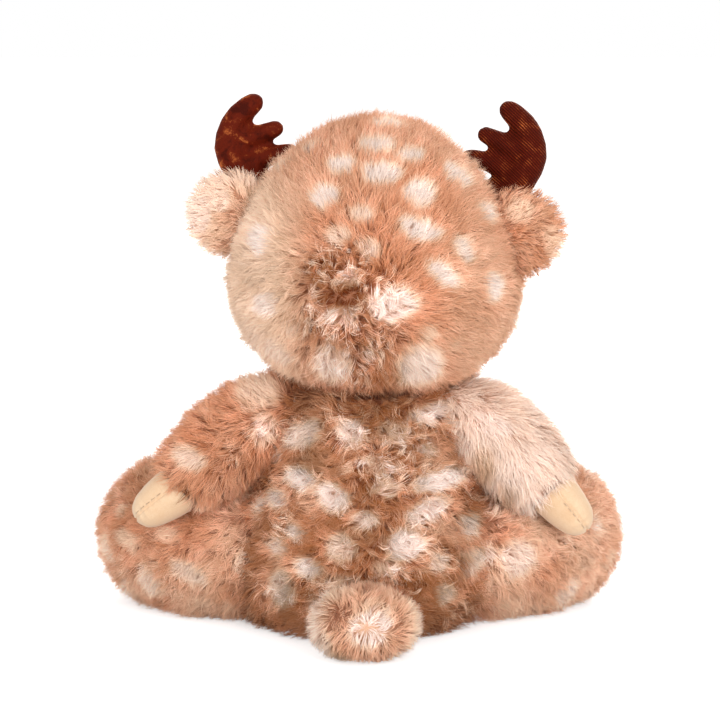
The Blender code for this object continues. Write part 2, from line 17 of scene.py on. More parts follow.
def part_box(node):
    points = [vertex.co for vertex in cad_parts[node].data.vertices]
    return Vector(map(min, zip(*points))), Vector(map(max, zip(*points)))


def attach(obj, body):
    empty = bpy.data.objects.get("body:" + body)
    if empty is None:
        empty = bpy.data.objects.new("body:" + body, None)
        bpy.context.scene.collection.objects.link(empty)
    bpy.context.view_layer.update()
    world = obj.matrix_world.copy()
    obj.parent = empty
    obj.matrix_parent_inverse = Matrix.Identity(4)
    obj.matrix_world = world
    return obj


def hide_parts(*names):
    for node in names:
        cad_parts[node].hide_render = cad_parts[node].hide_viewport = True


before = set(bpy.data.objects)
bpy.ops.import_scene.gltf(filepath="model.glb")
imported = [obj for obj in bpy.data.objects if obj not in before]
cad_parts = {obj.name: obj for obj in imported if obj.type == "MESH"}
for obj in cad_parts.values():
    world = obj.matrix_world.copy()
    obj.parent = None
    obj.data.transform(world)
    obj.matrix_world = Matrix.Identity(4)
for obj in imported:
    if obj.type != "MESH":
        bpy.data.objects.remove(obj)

logger = logging.getLogger("deer")

Colour = Tuple[float, float, float]
Point = Tuple[float, float, float]
Row = Tuple[float, ...]
Array = np.ndarray
Mesh = bpy.types.Object

MM = 0.001
STRAND = "strand"
PIECE_STRANDS = 39000
SHADE_LEVELS = 8
FLOOR_ROOM = 0.0007
FILL_STEPS = 20
FILL_PRESSURE = 4.0
CLOTH_STIFFNESS = 15.0
CLOTH_SHEAR = 6.0


class Side(Enum):
    """A side of the toy, as the sign of its X."""

    LEFT = 1
    RIGHT = -1

    @property
    def word(self) -> str:
        """The side's name as the solids use it."""
        return self.name.lower()


class Stuffing(Enum):
    """How hard a form is filled, as a share."""

    SOFT = 0.6
    FIRM = 0.8
    TIGHT = 0.95


class Nap(Enum):
    """How the pile of a velvet lies."""

    CRUSHED = "crushed"
    ROWS = "rows"


class Signal:
    """A socket that a number comes out of, so that shader maths reads as arithmetic."""

    def __init__(self, shader: "Shader", socket: bpy.types.NodeSocket) -> None:
        """Wraps a socket.

        Args:
            shader: the shader that the socket belongs to.
            socket: the output socket.
        """
        self.shader = shader
        self.socket = socket

    def maths(self, operation: str, first: "Number", second: "Number") -> "Signal":
        """Adds a Math node.

        Args:
            operation: the node's operation.
            first: its first value.
            second: its second value.

        Returns:
            The node's result.
        """
        made = self.shader.node("ShaderNodeMath", {"operation": operation}, {0: first, 1: second})
        return Signal(self.shader, made.outputs[0])

    def __add__(self, other: "Number") -> "Signal":
        """Sum."""
        return self.maths("ADD", self, other)

    def __radd__(self, other: "Number") -> "Signal":
        """Sum, reflected."""
        return self.maths("ADD", other, self)

    def __sub__(self, other: "Number") -> "Signal":
        """Difference."""
        return self.maths("SUBTRACT", self, other)

    def __rsub__(self, other: "Number") -> "Signal":
        """Difference, reflected."""
        return self.maths("SUBTRACT", other, self)

    def __mul__(self, other: "Number") -> "Signal":
        """Product."""
        return self.maths("MULTIPLY", self, other)

    def __rmul__(self, other: "Number") -> "Signal":
        """Product, reflected."""
        return self.maths("MULTIPLY", other, self)

    def sine(self) -> "Signal":
        """Sine of the number."""
        return self.maths("SINE", self, 0.0)


Number = Union[Signal, float]
Feed = Union[Signal, bpy.types.NodeSocket, float, Tuple[float, ...]]


class Shader:
    """The nodes of one finish, around a Principled shader."""

    def __init__(self, name: str, roughness: float) -> None:
        """Starts a material.

        Args:
            name: the material's name.
            roughness: the roughness of the whole surface.
        """
        self.material = bpy.data.materials.new(name)
        self.material.use_nodes = True
        self.tree = self.material.node_tree
        self.surface = self.tree.nodes["Principled BSDF"]
        self.set("Roughness", roughness)

    @classmethod
    def around(cls, tree: bpy.types.NodeTree) -> "Shader":
        """Wraps the nodes of something other than a material, such as the world."""
        made = cls.__new__(cls)
        made.tree = tree
        return made

    def set(self, socket: str, value: Feed) -> None:
        """Sets or links one of the surface's sockets."""
        self.feed(self.surface.inputs[socket], value)

    def feed(self, socket: bpy.types.NodeSocket, value: Feed) -> None:
        """Gives a socket its value or its link.

        Args:
            socket: the input socket.
            value: a number, a colour, a socket or a signal.
        """
        if isinstance(value, Signal):
            self.tree.links.new(value.socket, socket)
        elif isinstance(value, bpy.types.NodeSocket):
            self.tree.links.new(value, socket)
        elif isinstance(value, tuple) and len(value) == 3 and socket.type == "RGBA":
            socket.default_value = (*value, 1.0)
        else:
            socket.default_value = value

    def node(self, kind: str, settings: Optional[dict] = None,
             inputs: Optional[dict] = None) -> bpy.types.Node:
        """Adds any node: its settings first, then its values and links.

        Args:
            kind: the node's type.
            settings: its properties; "stops" holds a ramp's places and colours.
            inputs: its sockets, by name or number.

        Returns:
            The node.
        """
        made = self.tree.nodes.new(kind)
        for name, value in (settings or {}).items():
            if name == "stops":
                elements = made.color_ramp.elements
                while len(elements) < len(value):
                    elements.new(1.0)
                for element, (place, colour) in zip(elements, value):
                    element.position = place
                    element.color = (*colour, 1.0)
            else:
                setattr(made, name, value)
        for key, value in (inputs or {}).items():
            self.feed(made.inputs[key], value)
        return made

    def signal(self, made: bpy.types.Node, output: Union[int, str] = 0) -> Signal:
        """A node's output as a signal."""
        return Signal(self, made.outputs[output])

    def place(self) -> bpy.types.NodeSocket:
        """The place on the object, in metres."""
        return self.node("ShaderNodeTexCoord").outputs["Object"]

    def noise(self, scale: float, detail: float = 2.0, roughness: float = 0.5,
              at: Optional[bpy.types.NodeSocket] = None) -> Signal:
        """A cloudy pattern.

        Args:
            scale: waves per metre.
            detail: how many finer layers it has.
            roughness: how strong those are.
            at: the place it is read at, the object's own when left out.

        Returns:
            A number about one half.
        """
        made = self.node("ShaderNodeTexNoise", {}, {
            "Vector": at or self.place(), "Scale": scale, "Detail": detail, "Roughness": roughness,
        })
        return self.signal(made, "Fac")

    def ramp(self, value: Number, stops: Sequence[Tuple[float, Colour]]) -> bpy.types.NodeSocket:
        """A colour that changes with a number.

        Args:
            value: the number.
            stops: places and their colours.

        Returns:
            The colour.
        """
        made = self.node("ShaderNodeValToRGB", {"stops": stops}, {0: value})
        return made.outputs["Color"]

    def mix(self, share: Number, first: Feed, second: Feed) -> bpy.types.NodeSocket:
        """Mixes two colours.

        Args:
            share: how much of the second there is.
            first: the first colour.
            second: the second colour.

        Returns:
            The mixed colour.
        """
        made = self.node("ShaderNodeMix", {"data_type": "RGBA"})
        self.feed(made.inputs[0], share)
        self.feed(made.inputs[6], first)
        self.feed(made.inputs[7], second)
        return made.outputs[2]

    def raise_by(self, height: Number, distance: float, strength: float = 1.0) -> None:
        """Gives the surface a relief.

        Args:
            height: the relief.
            distance: how high it stands, in metres.
            strength: how much of it shows.
        """
        made = self.node("ShaderNodeBump", {}, {
            "Strength": strength, "Distance": distance, "Height": height,
        })
        self.set("Normal", made.outputs["Normal"])


class Finish:
    """What a piece's surface looks like."""

    roughness: float = 0.5

    def material(self, name: str) -> bpy.types.Material:
        """Makes the material.

        Args:
            name: its name.

        Returns:
            The material.
        """
        shader = Shader(name, self.roughness)
        self.paint(shader)
        return shader.material

    def paint(self, shader: Shader) -> None:
        """Sets up the finish's nodes; each finish has its own."""
        raise NotImplementedError


@dataclass(frozen=True)
class PileFinish(Finish):
    """Dyed pile, coloured strand by strand: dark at the root, caramel or off-white above."""

    roots: Tuple[Tuple[float, Colour], ...] = (
        (0.0, (0.280, 0.062, 0.026)), (0.5, (0.640, 0.295, 0.165)), (1.0, (0.860, 0.575, 0.445)),
    )
    tips: Tuple[Tuple[float, Colour], ...] = (
        (0.0, (0.790, 0.322, 0.160)), (0.5, (0.985, 0.705, 0.510)), (1.0, (0.990, 0.860, 0.790)),
    )
    frosted: Colour = (0.980, 0.760, 0.580)
    frost_share: float = 0.16
    roughness: float = 0.80
    sheen: float = 0.03

    def paint(self, shader: Shader) -> None:
        """Sets up the finish's nodes.

        Args:
            shader: the material's nodes.
        """
        told = shader.node("ShaderNodeAttribute", {"attribute_name": STRAND})
        parts = shader.node("ShaderNodeSeparateXYZ", {}, {0: told.outputs["Vector"]})
        tone, shade, along = (shader.signal(parts, k) for k in range(3))
        root = shader.ramp(tone, self.roots)
        tip = shader.ramp(tone, self.tips)
        rise = shader.node("ShaderNodeMapRange", {"interpolation_type": "SMOOTHSTEP"}, {
            "Value": along, "From Min": 0.0, "From Max": 0.74,
        })
        frost = shader.node("ShaderNodeMapRange", {"interpolation_type": "SMOOTHSTEP"}, {
            "Value": along, "From Min": 0.60, "From Max": 1.0, "To Max": self.frost_share,
        })
        colour = shader.mix(shader.signal(rise), root, tip)
        colour = shader.mix(shader.signal(frost), colour, self.frosted)
        # Saturation rises where the shade level is low, most on pale strands: painted shade, a warm
        # tint standing in for light scattered inside the fur.
        varied = shader.node("ShaderNodeHueSaturation", {}, {
            "Saturation": 1.12 - 0.20 * shade + 0.25 * tone * (1.0 - shade),
            "Value": 0.52 + 0.86 * shade, "Color": colour,
        })
        shader.set("Base Color", varied.outputs["Color"])
        shader.set("Specular IOR Level", 0.10)
        shader.set("Sheen Weight", self.sheen)
        shader.set("Sheen Roughness", 0.5)


@dataclass(frozen=True)
class BackingFinish(Finish):
    """The knitted backing that the pile stands on."""

    dark: Colour = (0.300, 0.075, 0.020)
    light: Colour = (0.780, 0.490, 0.320)
    loops: float = 900.0
    roughness: float = 0.95

    def paint(self, shader: Shader) -> None:
        """Sets up the finish's nodes.

        Args:
            shader: the material's nodes.
        """
        told = shader.node("ShaderNodeAttribute", {"attribute_name": STRAND})
        parts = shader.node("ShaderNodeSeparateXYZ", {}, {0: told.outputs["Vector"]})
        tone = shader.signal(parts, 0)
        fuzz = shader.noise(self.loops, 3.0, 0.7)
        colour = shader.ramp(tone * 0.8 + fuzz * 0.3, ((0.0, self.dark), (1.0, self.light)))
        shader.set("Base Color", colour)
        shader.raise_by(fuzz, 0.0006)


@dataclass(frozen=True)
class VelvetFinish(Finish):
    """Russet velvet, its short pile crushed or in fine rows; the paler patches where that pile is
    pressed over are a painted highlight.
    """

    nap: Nap
    deep: Colour = (0.050, 0.004, 0.001)
    main: Colour = (0.105, 0.009, 0.002)
    bright: Colour = (0.560, 0.145, 0.036)
    crush: float = 130.0
    row_width: float = 0.0012
    roughness: float = 0.66

    def paint(self, shader: Shader) -> None:
        """Sets up the finish's nodes.

        Args:
            shader: the material's nodes.
        """
        place = shader.place()
        warp = shader.node("ShaderNodeTexNoise", {}, {
            "Vector": place, "Scale": 75.0, "Detail": 2.0,
        })
        bent = shader.node("ShaderNodeVectorMath", {"operation": "MULTIPLY_ADD"}, {
            0: warp.outputs["Color"], 1: (0.010, 0.010, 0.010), 2: place,
        })
        nap = shader.noise(2600.0, 2.0, 0.6)
        clouds = shader.noise(self.crush, 3.0, 0.6, bent.outputs[0])
        if self.nap is Nap.ROWS:
            over = shader.node("ShaderNodeVectorMath", {"operation": "DOT_PRODUCT"}, {
                0: place, 1: (0.70, 0.12, -0.70),
            })
            waves = shader.signal(over, "Value") * (math.tau / self.row_width) + clouds * 5.0
            relief = waves.sine() * 0.15 + 0.07 + clouds * 0.68
        else:
            relief = clouds
        level = relief * 0.95 + nap * 0.20 - 0.10
        # The nap pattern runs from deep russet through the main colour to a painted highlight.
        colour = shader.ramp(level, (
            (0.34, self.deep), (0.47, self.main), (0.54, self.main), (0.70, self.bright),
        ))
        shader.set("Base Color", colour)
        shader.set("Sheen Weight", 0.42)
        shader.set("Sheen Roughness", 0.24)
        shader.set("Sheen Tint", (1.0, 0.30, 0.09, 1.0))
        shader.set("Specular IOR Level", 0.06)
        shader.raise_by(relief * 0.8 + nap * 0.12, 0.0012)


@dataclass(frozen=True)
class SuedeFinish(Finish):
    """Brushed suede cloth in ivory, a little darker in its folds."""

    main: Colour = (0.790, 0.570, 0.375)
    worn: Colour = (0.720, 0.475, 0.285)
    grain: float = 1500.0
    roughness: float = 0.85

    def paint(self, shader: Shader) -> None:
        """Sets up the finish's nodes.

        Args:
            shader: the material's nodes.
        """
        clouds = shader.noise(70.0, 3.0, 0.5)
        nap = shader.noise(self.grain, 3.0, 0.65)
        colour = shader.ramp(clouds * 0.6 + nap * 0.4, ((0.33, self.worn), (0.60, self.main)))
        shader.set("Base Color", colour)
        shader.set("Sheen Weight", 0.25)
        shader.set("Specular IOR Level", 0.2)
        shader.raise_by(nap, 0.00018)


@dataclass(frozen=True)
class ThreadFinish(Finish):
    """Twisted embroidery thread."""

    main: Colour
    lit: Colour
    twists: float = 1800.0
    roughness: float = 0.45

    def paint(self, shader: Shader) -> None:
        """Sets up the finish's nodes.

        Args:
            shader: the material's nodes.
        """
        wave = shader.node("ShaderNodeTexWave", {
            "wave_type": "BANDS", "bands_direction": "DIAGONAL",
        }, {"Vector": shader.place(), "Scale": self.twists, "Distortion": 1.2})
        twist = shader.signal(wave, "Fac")
        shader.set("Base Color", shader.ramp(twist, ((0.1, self.main), (0.9, self.lit))))
        shader.set("Sheen Weight", 0.3)
        shader.raise_by(twist, 0.0001)


@dataclass(frozen=True)
class PlasticFinish(Finish):
    """Moulded plastic, polished or plain."""

    main: Colour
    cloud: Colour
    roughness: float = 0.1
    coat: float = 0.0

    def paint(self, shader: Shader) -> None:
        """Sets up the finish's nodes.

        Args:
            shader: the material's nodes.
        """
        clouds = shader.noise(180.0, 2.0)
        shader.set("Base Color", shader.ramp(clouds, ((0.35, self.main), (0.7, self.cloud))))
        shader.set("Coat Weight", self.coat)
        shader.set("Coat Roughness", 0.03)
        shader.raise_by(shader.noise(900.0, 1.0), 0.00003)


@dataclass(frozen=True)
class WovenFinish(Finish):
    """Plain woven cloth, warp over weft."""

    main: Colour
    gap: Colour
    threads: float = 1100.0
    roughness: float = 0.9

    def paint(self, shader: Shader) -> None:
        """Sets up the finish's nodes.

        Args:
            shader: the material's nodes.
        """
        place = shader.place()
        bands = [
            shader.signal(shader.node("ShaderNodeTexWave", {
                "wave_type": "BANDS", "bands_direction": direction,
            }, {"Vector": place, "Scale": self.threads / 6.0, "Distortion": 0.6}), "Fac")
            for direction in ("X", "Y")
        ]
        weave = bands[0] * bands[1]
        shader.set("Base Color", shader.ramp(weave, ((0.0, self.gap), (0.55, self.main))))
        shader.raise_by(weave, 0.0002)


def eased(low: float, high: float, values: Array) -> Array:
    """A smooth step.

    Args:
        low: where it starts.
        high: where it ends.
        values: the numbers to read it at.

    Returns:
        Shares from 0 to 1.
    """
    share = np.clip((values - low) / (high - low), 0.0, 1.0)
    return share * share * (3.0 - 2.0 * share)


def unit(vectors: Array) -> Array:
    """Vectors brought to length one."""
    return vectors / np.maximum(np.linalg.norm(vectors, axis=-1, keepdims=True), 1e-12)


def drift(points: Array, size: float, seed: int) -> Array:
    """Smooth random numbers that change over a distance.

    Args:
        points: the places to read them at.
        size: the distance.
        seed: which random field it is.

    Returns:
        Numbers from -1 to 1.
    """
    lattice = np.random.default_rng(seed).uniform(-1.0, 1.0, (24, 24, 24))
    scaled = points / size + 240.37
    cell = np.floor(scaled).astype(int)
    share = scaled - cell
    share = share * share * (3.0 - 2.0 * share)
    total = np.zeros(len(points))
    for corner in range(8):
        step = np.array([corner & 1, corner >> 1 & 1, corner >> 2 & 1])
        weight = np.prod(np.where(step, share, 1.0 - share), axis=1)
        x, y, z = ((cell + step) % 24).T
        total += weight * lattice[x, y, z]
    return total


def tree_of(item: Mesh) -> BVHTree:
    """The search tree of a mesh whose object isn't moved."""
    mesh = item.data
    mesh.calc_loop_triangles()
    return BVHTree.FromPolygons(
        [vert.co for vert in mesh.vertices], [tuple(tri.vertices) for tri in mesh.loop_triangles],
    )


def soft_unit(vectors: Array, soft: float) -> Array:
    """Vectors brought near length one, and shorter where they are short already."""
    return vectors / (np.linalg.norm(vectors, axis=-1, keepdims=True) + soft)


def swirl(points: Array, size: float, seed: int) -> Array:
    """Smooth random directions that change over a distance."""
    return np.stack([drift(points, size, seed + k) for k in range(3)], axis=1)


def rounded(run: Array, steps: int = 5) -> Array:
    """A smooth line through points.

    Args:
        run: the points.
        steps: how many pieces each stretch is cut into.

    Returns:
        The line's points.
    """
    held = np.vstack([2.0 * run[0] - run[1], run, 2.0 * run[-1] - run[-2]])
    share = np.linspace(0.0, 1.0, steps + 1)[1:, None]
    made = [run[:1]]
    for a, b, c, d in zip(held, held[1:], held[2:], held[3:]):
        made.append(b + 0.5 * share * (c - a + share * (
            2.0 * a - 5.0 * b + 4.0 * c - d + share * (3.0 * (b - c) + d - a))))
    return np.vstack(made)


def placed(name: str, data: bpy.types.ID) -> bpy.types.Object:
    """A new object in the scene."""
    item = bpy.data.objects.new(name, data)
    bpy.context.scene.collection.objects.link(item)
    return item


def reshape(item: Mesh, points: Array) -> None:
    """Moves a form's points."""
    item.data.vertices.foreach_set("co", points.ravel())
    item.data.update()


def points_of(mesh: bpy.types.Mesh) -> Tuple[Array, Array]:
    """A mesh's points and their normals."""
    points = np.empty(len(mesh.vertices) * 3)
    lines = np.empty(len(mesh.vertices) * 3)
    mesh.vertices.foreach_get("co", points)
    mesh.vertices.foreach_get("normal", lines)
    return points.reshape(-1, 3), unit(lines.reshape(-1, 3))


@dataclass
class Skin:
    """A stuffed cloth form, sewn to the shape of one of the solids."""

    node: str
    body: str
    slot: str
    voxel: float = 0.005
    swell: float = 0.0016
    inset: float = 0.0009
    rounds: int = 1
    smoothing: int = 4
    fill: Stuffing = Stuffing.FIRM
    item: Optional[Mesh] = None

    def build(self, name: str) -> "Skin":
        """Makes the form: remeshed, filled until it swells, and smoothed.

        Args:
            name: the piece's name.

        Returns:
            The skin itself, whose piece stands for its solid.
        """
        item = placed(name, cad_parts[self.node].data.copy())
        item.data.materials.clear()
        remesh = item.modifiers.new("cloth", "REMESH")
        remesh.mode = "VOXEL"
        remesh.voxel_size = self.voxel
        self.settle(item)
        self.push(item, -self.inset)
        self.stuff(item)
        soften = item.modifiers.new("soften", "SMOOTH")
        soften.iterations = self.smoothing
        finer = item.modifiers.new("finer", "SUBSURF")
        finer.levels = self.rounds
        finer.render_levels = self.rounds
        self.settle(item)
        item.data.shade_smooth()
        self.item = item
        return self

    def settle(self, item: Mesh) -> None:
        """Turns the modifiers into the mesh itself."""
        bpy.context.view_layer.update()
        graph = bpy.context.evaluated_depsgraph_get()
        mesh = bpy.data.meshes.new_from_object(item.evaluated_get(graph))
        item.modifiers.clear()
        item.data = mesh

    def push(self, item: Mesh, distance: float) -> None:
        """Moves every point along its normal.

        Args:
            item: the form.
            distance: how far, outward when positive.
        """
        points, lines = points_of(item.data)
        reshape(item, points + lines * distance)

    def stuff(self, item: Mesh) -> None:
        """Fills the cloth under pressure and keeps how far that moved it, up to a limit."""
        before = np.array([vert.co for vert in item.data.vertices])
        cloth = item.modifiers.new("filling", "CLOTH")
        cloth.settings.quality = 4
        cloth.settings.use_pressure = True
        cloth.settings.uniform_pressure_force = FILL_PRESSURE
        cloth.settings.effector_weights.gravity = 0.0
        cloth.settings.tension_stiffness = CLOTH_STIFFNESS
        cloth.settings.compression_stiffness = CLOTH_STIFFNESS
        cloth.settings.shear_stiffness = CLOTH_SHEAR
        cloth.point_cache.frame_start = 1
        cloth.point_cache.frame_end = FILL_STEPS
        for step in range(1, FILL_STEPS + 1):
            bpy.context.scene.frame_set(step)
        graph = bpy.context.evaluated_depsgraph_get()
        swollen = item.evaluated_get(graph)
        after = np.array([vert.co for vert in swollen.data.vertices])
        move = after - before
        size = np.linalg.norm(move, axis=1, keepdims=True)
        capped = before + move * np.minimum(1.0, self.swell / np.maximum(size, 1e-9))
        item.modifiers.clear()
        reshape(item, capped)
        bpy.context.scene.frame_set(1)

    def press_flat(self, item: Mesh, level: float) -> None:
        """Keeps the form above a level, where it lies on the floor."""
        points, _ = points_of(item.data)
        points[:, 2] = np.maximum(points[:, 2], level)
        reshape(item, points)

    def adopt(self, item: Mesh, material: bpy.types.Material) -> None:
        """Gives a piece its material and this form's body, and hides this form's solid.

        Args:
            item: the form itself, its pile or its thread.
            material: the piece's finish.
        """
        item.data.materials.append(material)
        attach(item, self.body)
        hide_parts(self.node)

    def dress(self, material: bpy.types.Material) -> None:
        """Keeps the form off the floor and finishes it with a material."""
        self.press_flat(self.item, FLOOR_ROOM / 2)
        self.adopt(self.item, material)
        logger.info("%s: %d faces", self.item.name, len(self.item.data.polygons))


@dataclass(frozen=True)
class Mark:
    """An oval on a form as seen from straight behind, or a ball where it is as deep as wide."""

    middle: Array
    wide: float
    tall: float
    turn: float = 0.0
    strength: float = 1.0
    depth_share: float = 0.75

    @property
    def radius(self) -> float:
        """The distance beyond which the mark has no effect."""
        return 1.6 * max(self.wide, self.tall) * self.depth_share

    def reach(self, points: Array) -> Array:
        """How far points lie from the middle, where one is the edge.

        Args:
            points: the places.

        Returns:
            Distances in units of the mark's size.
        """
        away = points - self.middle
        angle = math.radians(self.turn)
        along = away[:, 2] * math.sin(angle) - away[:, 0] * math.cos(angle)
        aside = away[:, 2] * math.cos(angle) + away[:, 0] * math.sin(angle)
        flat = np.hypot(along / (self.wide / 2), aside / (self.tall / 2))
        deep = np.linalg.norm(away, axis=1) / (max(self.wide, self.tall) * self.depth_share)
        return np.maximum(flat, deep)


@dataclass
class Marks:
    """A number over a form: full inside its marks, nought outside, with uneven edges."""

    seed: int
    inner: float = 0.66
    outer: float = 1.32
    ragged: float = 0.20
    grain: float = 0.0032
    kept: List[Mark] = field(default_factory=list)

    def lay(self, item: Mesh, rows: Sequence[Row]) -> "Marks":
        """Lays marks onto a form, each where a line from straight behind meets it.

        Args:
            item: the form.
            rows: across, height, width and height in millimetres, then turn and strength.

        Returns:
            The marks themselves.
        """
        tree = tree_of(item)
        for row in rows:
            across, height, wide, tall = (value * MM for value in row[:4])
            found = tree.ray_cast(Vector((across, 1.0, height)), Vector((0.0, -1.0, 0.0)))[0]
            if found is None:
                found = tree.find_nearest(Vector((across, 0.02, height)))[0]
            self.kept.append(Mark(np.array(found), wide, tall, *row[4:]))
        return self

    def scatter(self, item: Mesh, allowed: Callable[[Array], Array], spacing: float,
                size: float) -> "Marks":
        """Adds balls where no mark is laid, a distance from each other.

        Args:
            item: the form.
            allowed: which of its points may take one.
            spacing: the least distance between two.
            size: their width.

        Returns:
            The marks themselves.
        """
        points = np.array([vert.co for vert in item.data.vertices])
        open_to = points[allowed(points)]
        rng = np.random.default_rng(self.seed)
        rng.shuffle(open_to)
        for point in open_to:
            if all(np.linalg.norm(point - mark.middle) > spacing for mark in self.kept):
                wide = size * rng.uniform(0.75, 1.25)
                self.kept.append(Mark(point, wide, wide, 0.0, 0.9, 0.5))
        return self

    def __call__(self, points: Array) -> Array:
        """The numbers at points."""
        total = np.zeros(len(points))
        for mark in self.kept:
            near = np.flatnonzero(
                ((points - mark.middle) ** 2).sum(axis=1) < mark.radius ** 2)
            if not len(near):
                continue
            close = points[near]
            edge = self.ragged * drift(close, self.grain, self.seed + 3)
            share = 1.0 - eased(self.inner, self.outer, mark.reach(close) + edge)
            total[near] = np.maximum(total[near], share * mark.strength)
        return total


@dataclass
class Dye:
    """The dye of a form: its ground, its pale spots, its dark places and its ruffled ones; some of
    its levels and dark places are painted shade.
    """

    seed: int
    ground: Callable[[Array], Array]
    spots: Marks
    dark: Marks
    mess: Marks
    level: float = 0.54
    clouds: float = 0.10
    rough: float = 0.0
    spot_level: float = 0.70
    lift: float = 0.0
    dark_fade: float = 0.8
    dark_drop: float = 0.50

    @classmethod
    def on(cls, item: Mesh, seed: int, ground: Callable[[Array], Array],
           spots: Sequence[Row] = (), dark: Sequence[Row] = (), mess: Sequence[Row] = (),
           **levels: float) -> "Dye":
        """Lays a dye onto a form.

        Args:
            item: the form.
            seed: which random fields it follows.
            ground: the tone between the spots.
            spots: the pale spots' rows.
            dark: the dark places' rows.
            mess: the ruffled places' rows.
            levels: other values of the dye.

        Returns:
            The dye.
        """
        return cls(
            seed, ground, Marks(seed).lay(item, spots),
            Marks(seed + 11, 0.25, 1.35, 0.35, 0.006).lay(item, dark),
            Marks(seed + 17, 0.35, 1.25, 0.30, 0.009).lay(item, mess), **levels)

    def ruffled(self, points: Array) -> Array:
        """How ruffled the pile is, from nought to one."""
        calm = self.rough * (0.6 + 0.8 * drift(points, 0.011, self.seed + 23))
        return np.clip(np.maximum(calm, self.mess(points)), 0.0, 1.0)

    def tone(self, points: Array) -> Array:
        """The tone of the pile: nought for caramel, one for off-white."""
        ground = self.ground(points) * (1.0 - self.dark_fade * self.dark(points))
        return np.clip(np.maximum(ground, self.spots(points)), 0.0, 1.0)

    def shade(self, points: Array) -> Array:
        """How light or dark the pile is: how the dye took, and in places painted shade."""
        uneven = self.clouds * drift(points, 0.012, self.seed + 5)
        plain = self.level + uneven - self.dark_drop * self.dark(points)
        plain = plain + self.lift * self.ground(points)
        return plain + (self.spot_level - plain) * self.spots(points)


@dataclass(frozen=True)
class Pile:
    """How the strands of a coat are cut and laid; angles are in degrees."""

    length: float = 0.0100
    uneven_share: float = 0.30
    per_square: float = 2.8e6
    width: float = 0.00021
    root_lean: float = 40.0
    tip_lean: float = 79.0
    wisp: float = 0.0021
    gather_share: float = 0.30
    ruffle: float = 18.0
    curl: float = 95.0
    sway: float = 24.0
    stray_share: float = 0.06
    drop: float = 22.0
    glint_share: float = 0.14
    turn_spread: float = 10.0
    bend_spread: float = 16.0
    tilt_spread: float = 5.0
    wisp_tilt: float = 4.5
    slow_tilt: float = 6.0
    stray_rise: float = 20.0
    tremble: float = 0.00016
    root_share: float = 0.72
    taper: float = 0.45


def even(points: Array) -> Array:
    """One at every point."""
    return np.ones(len(points))


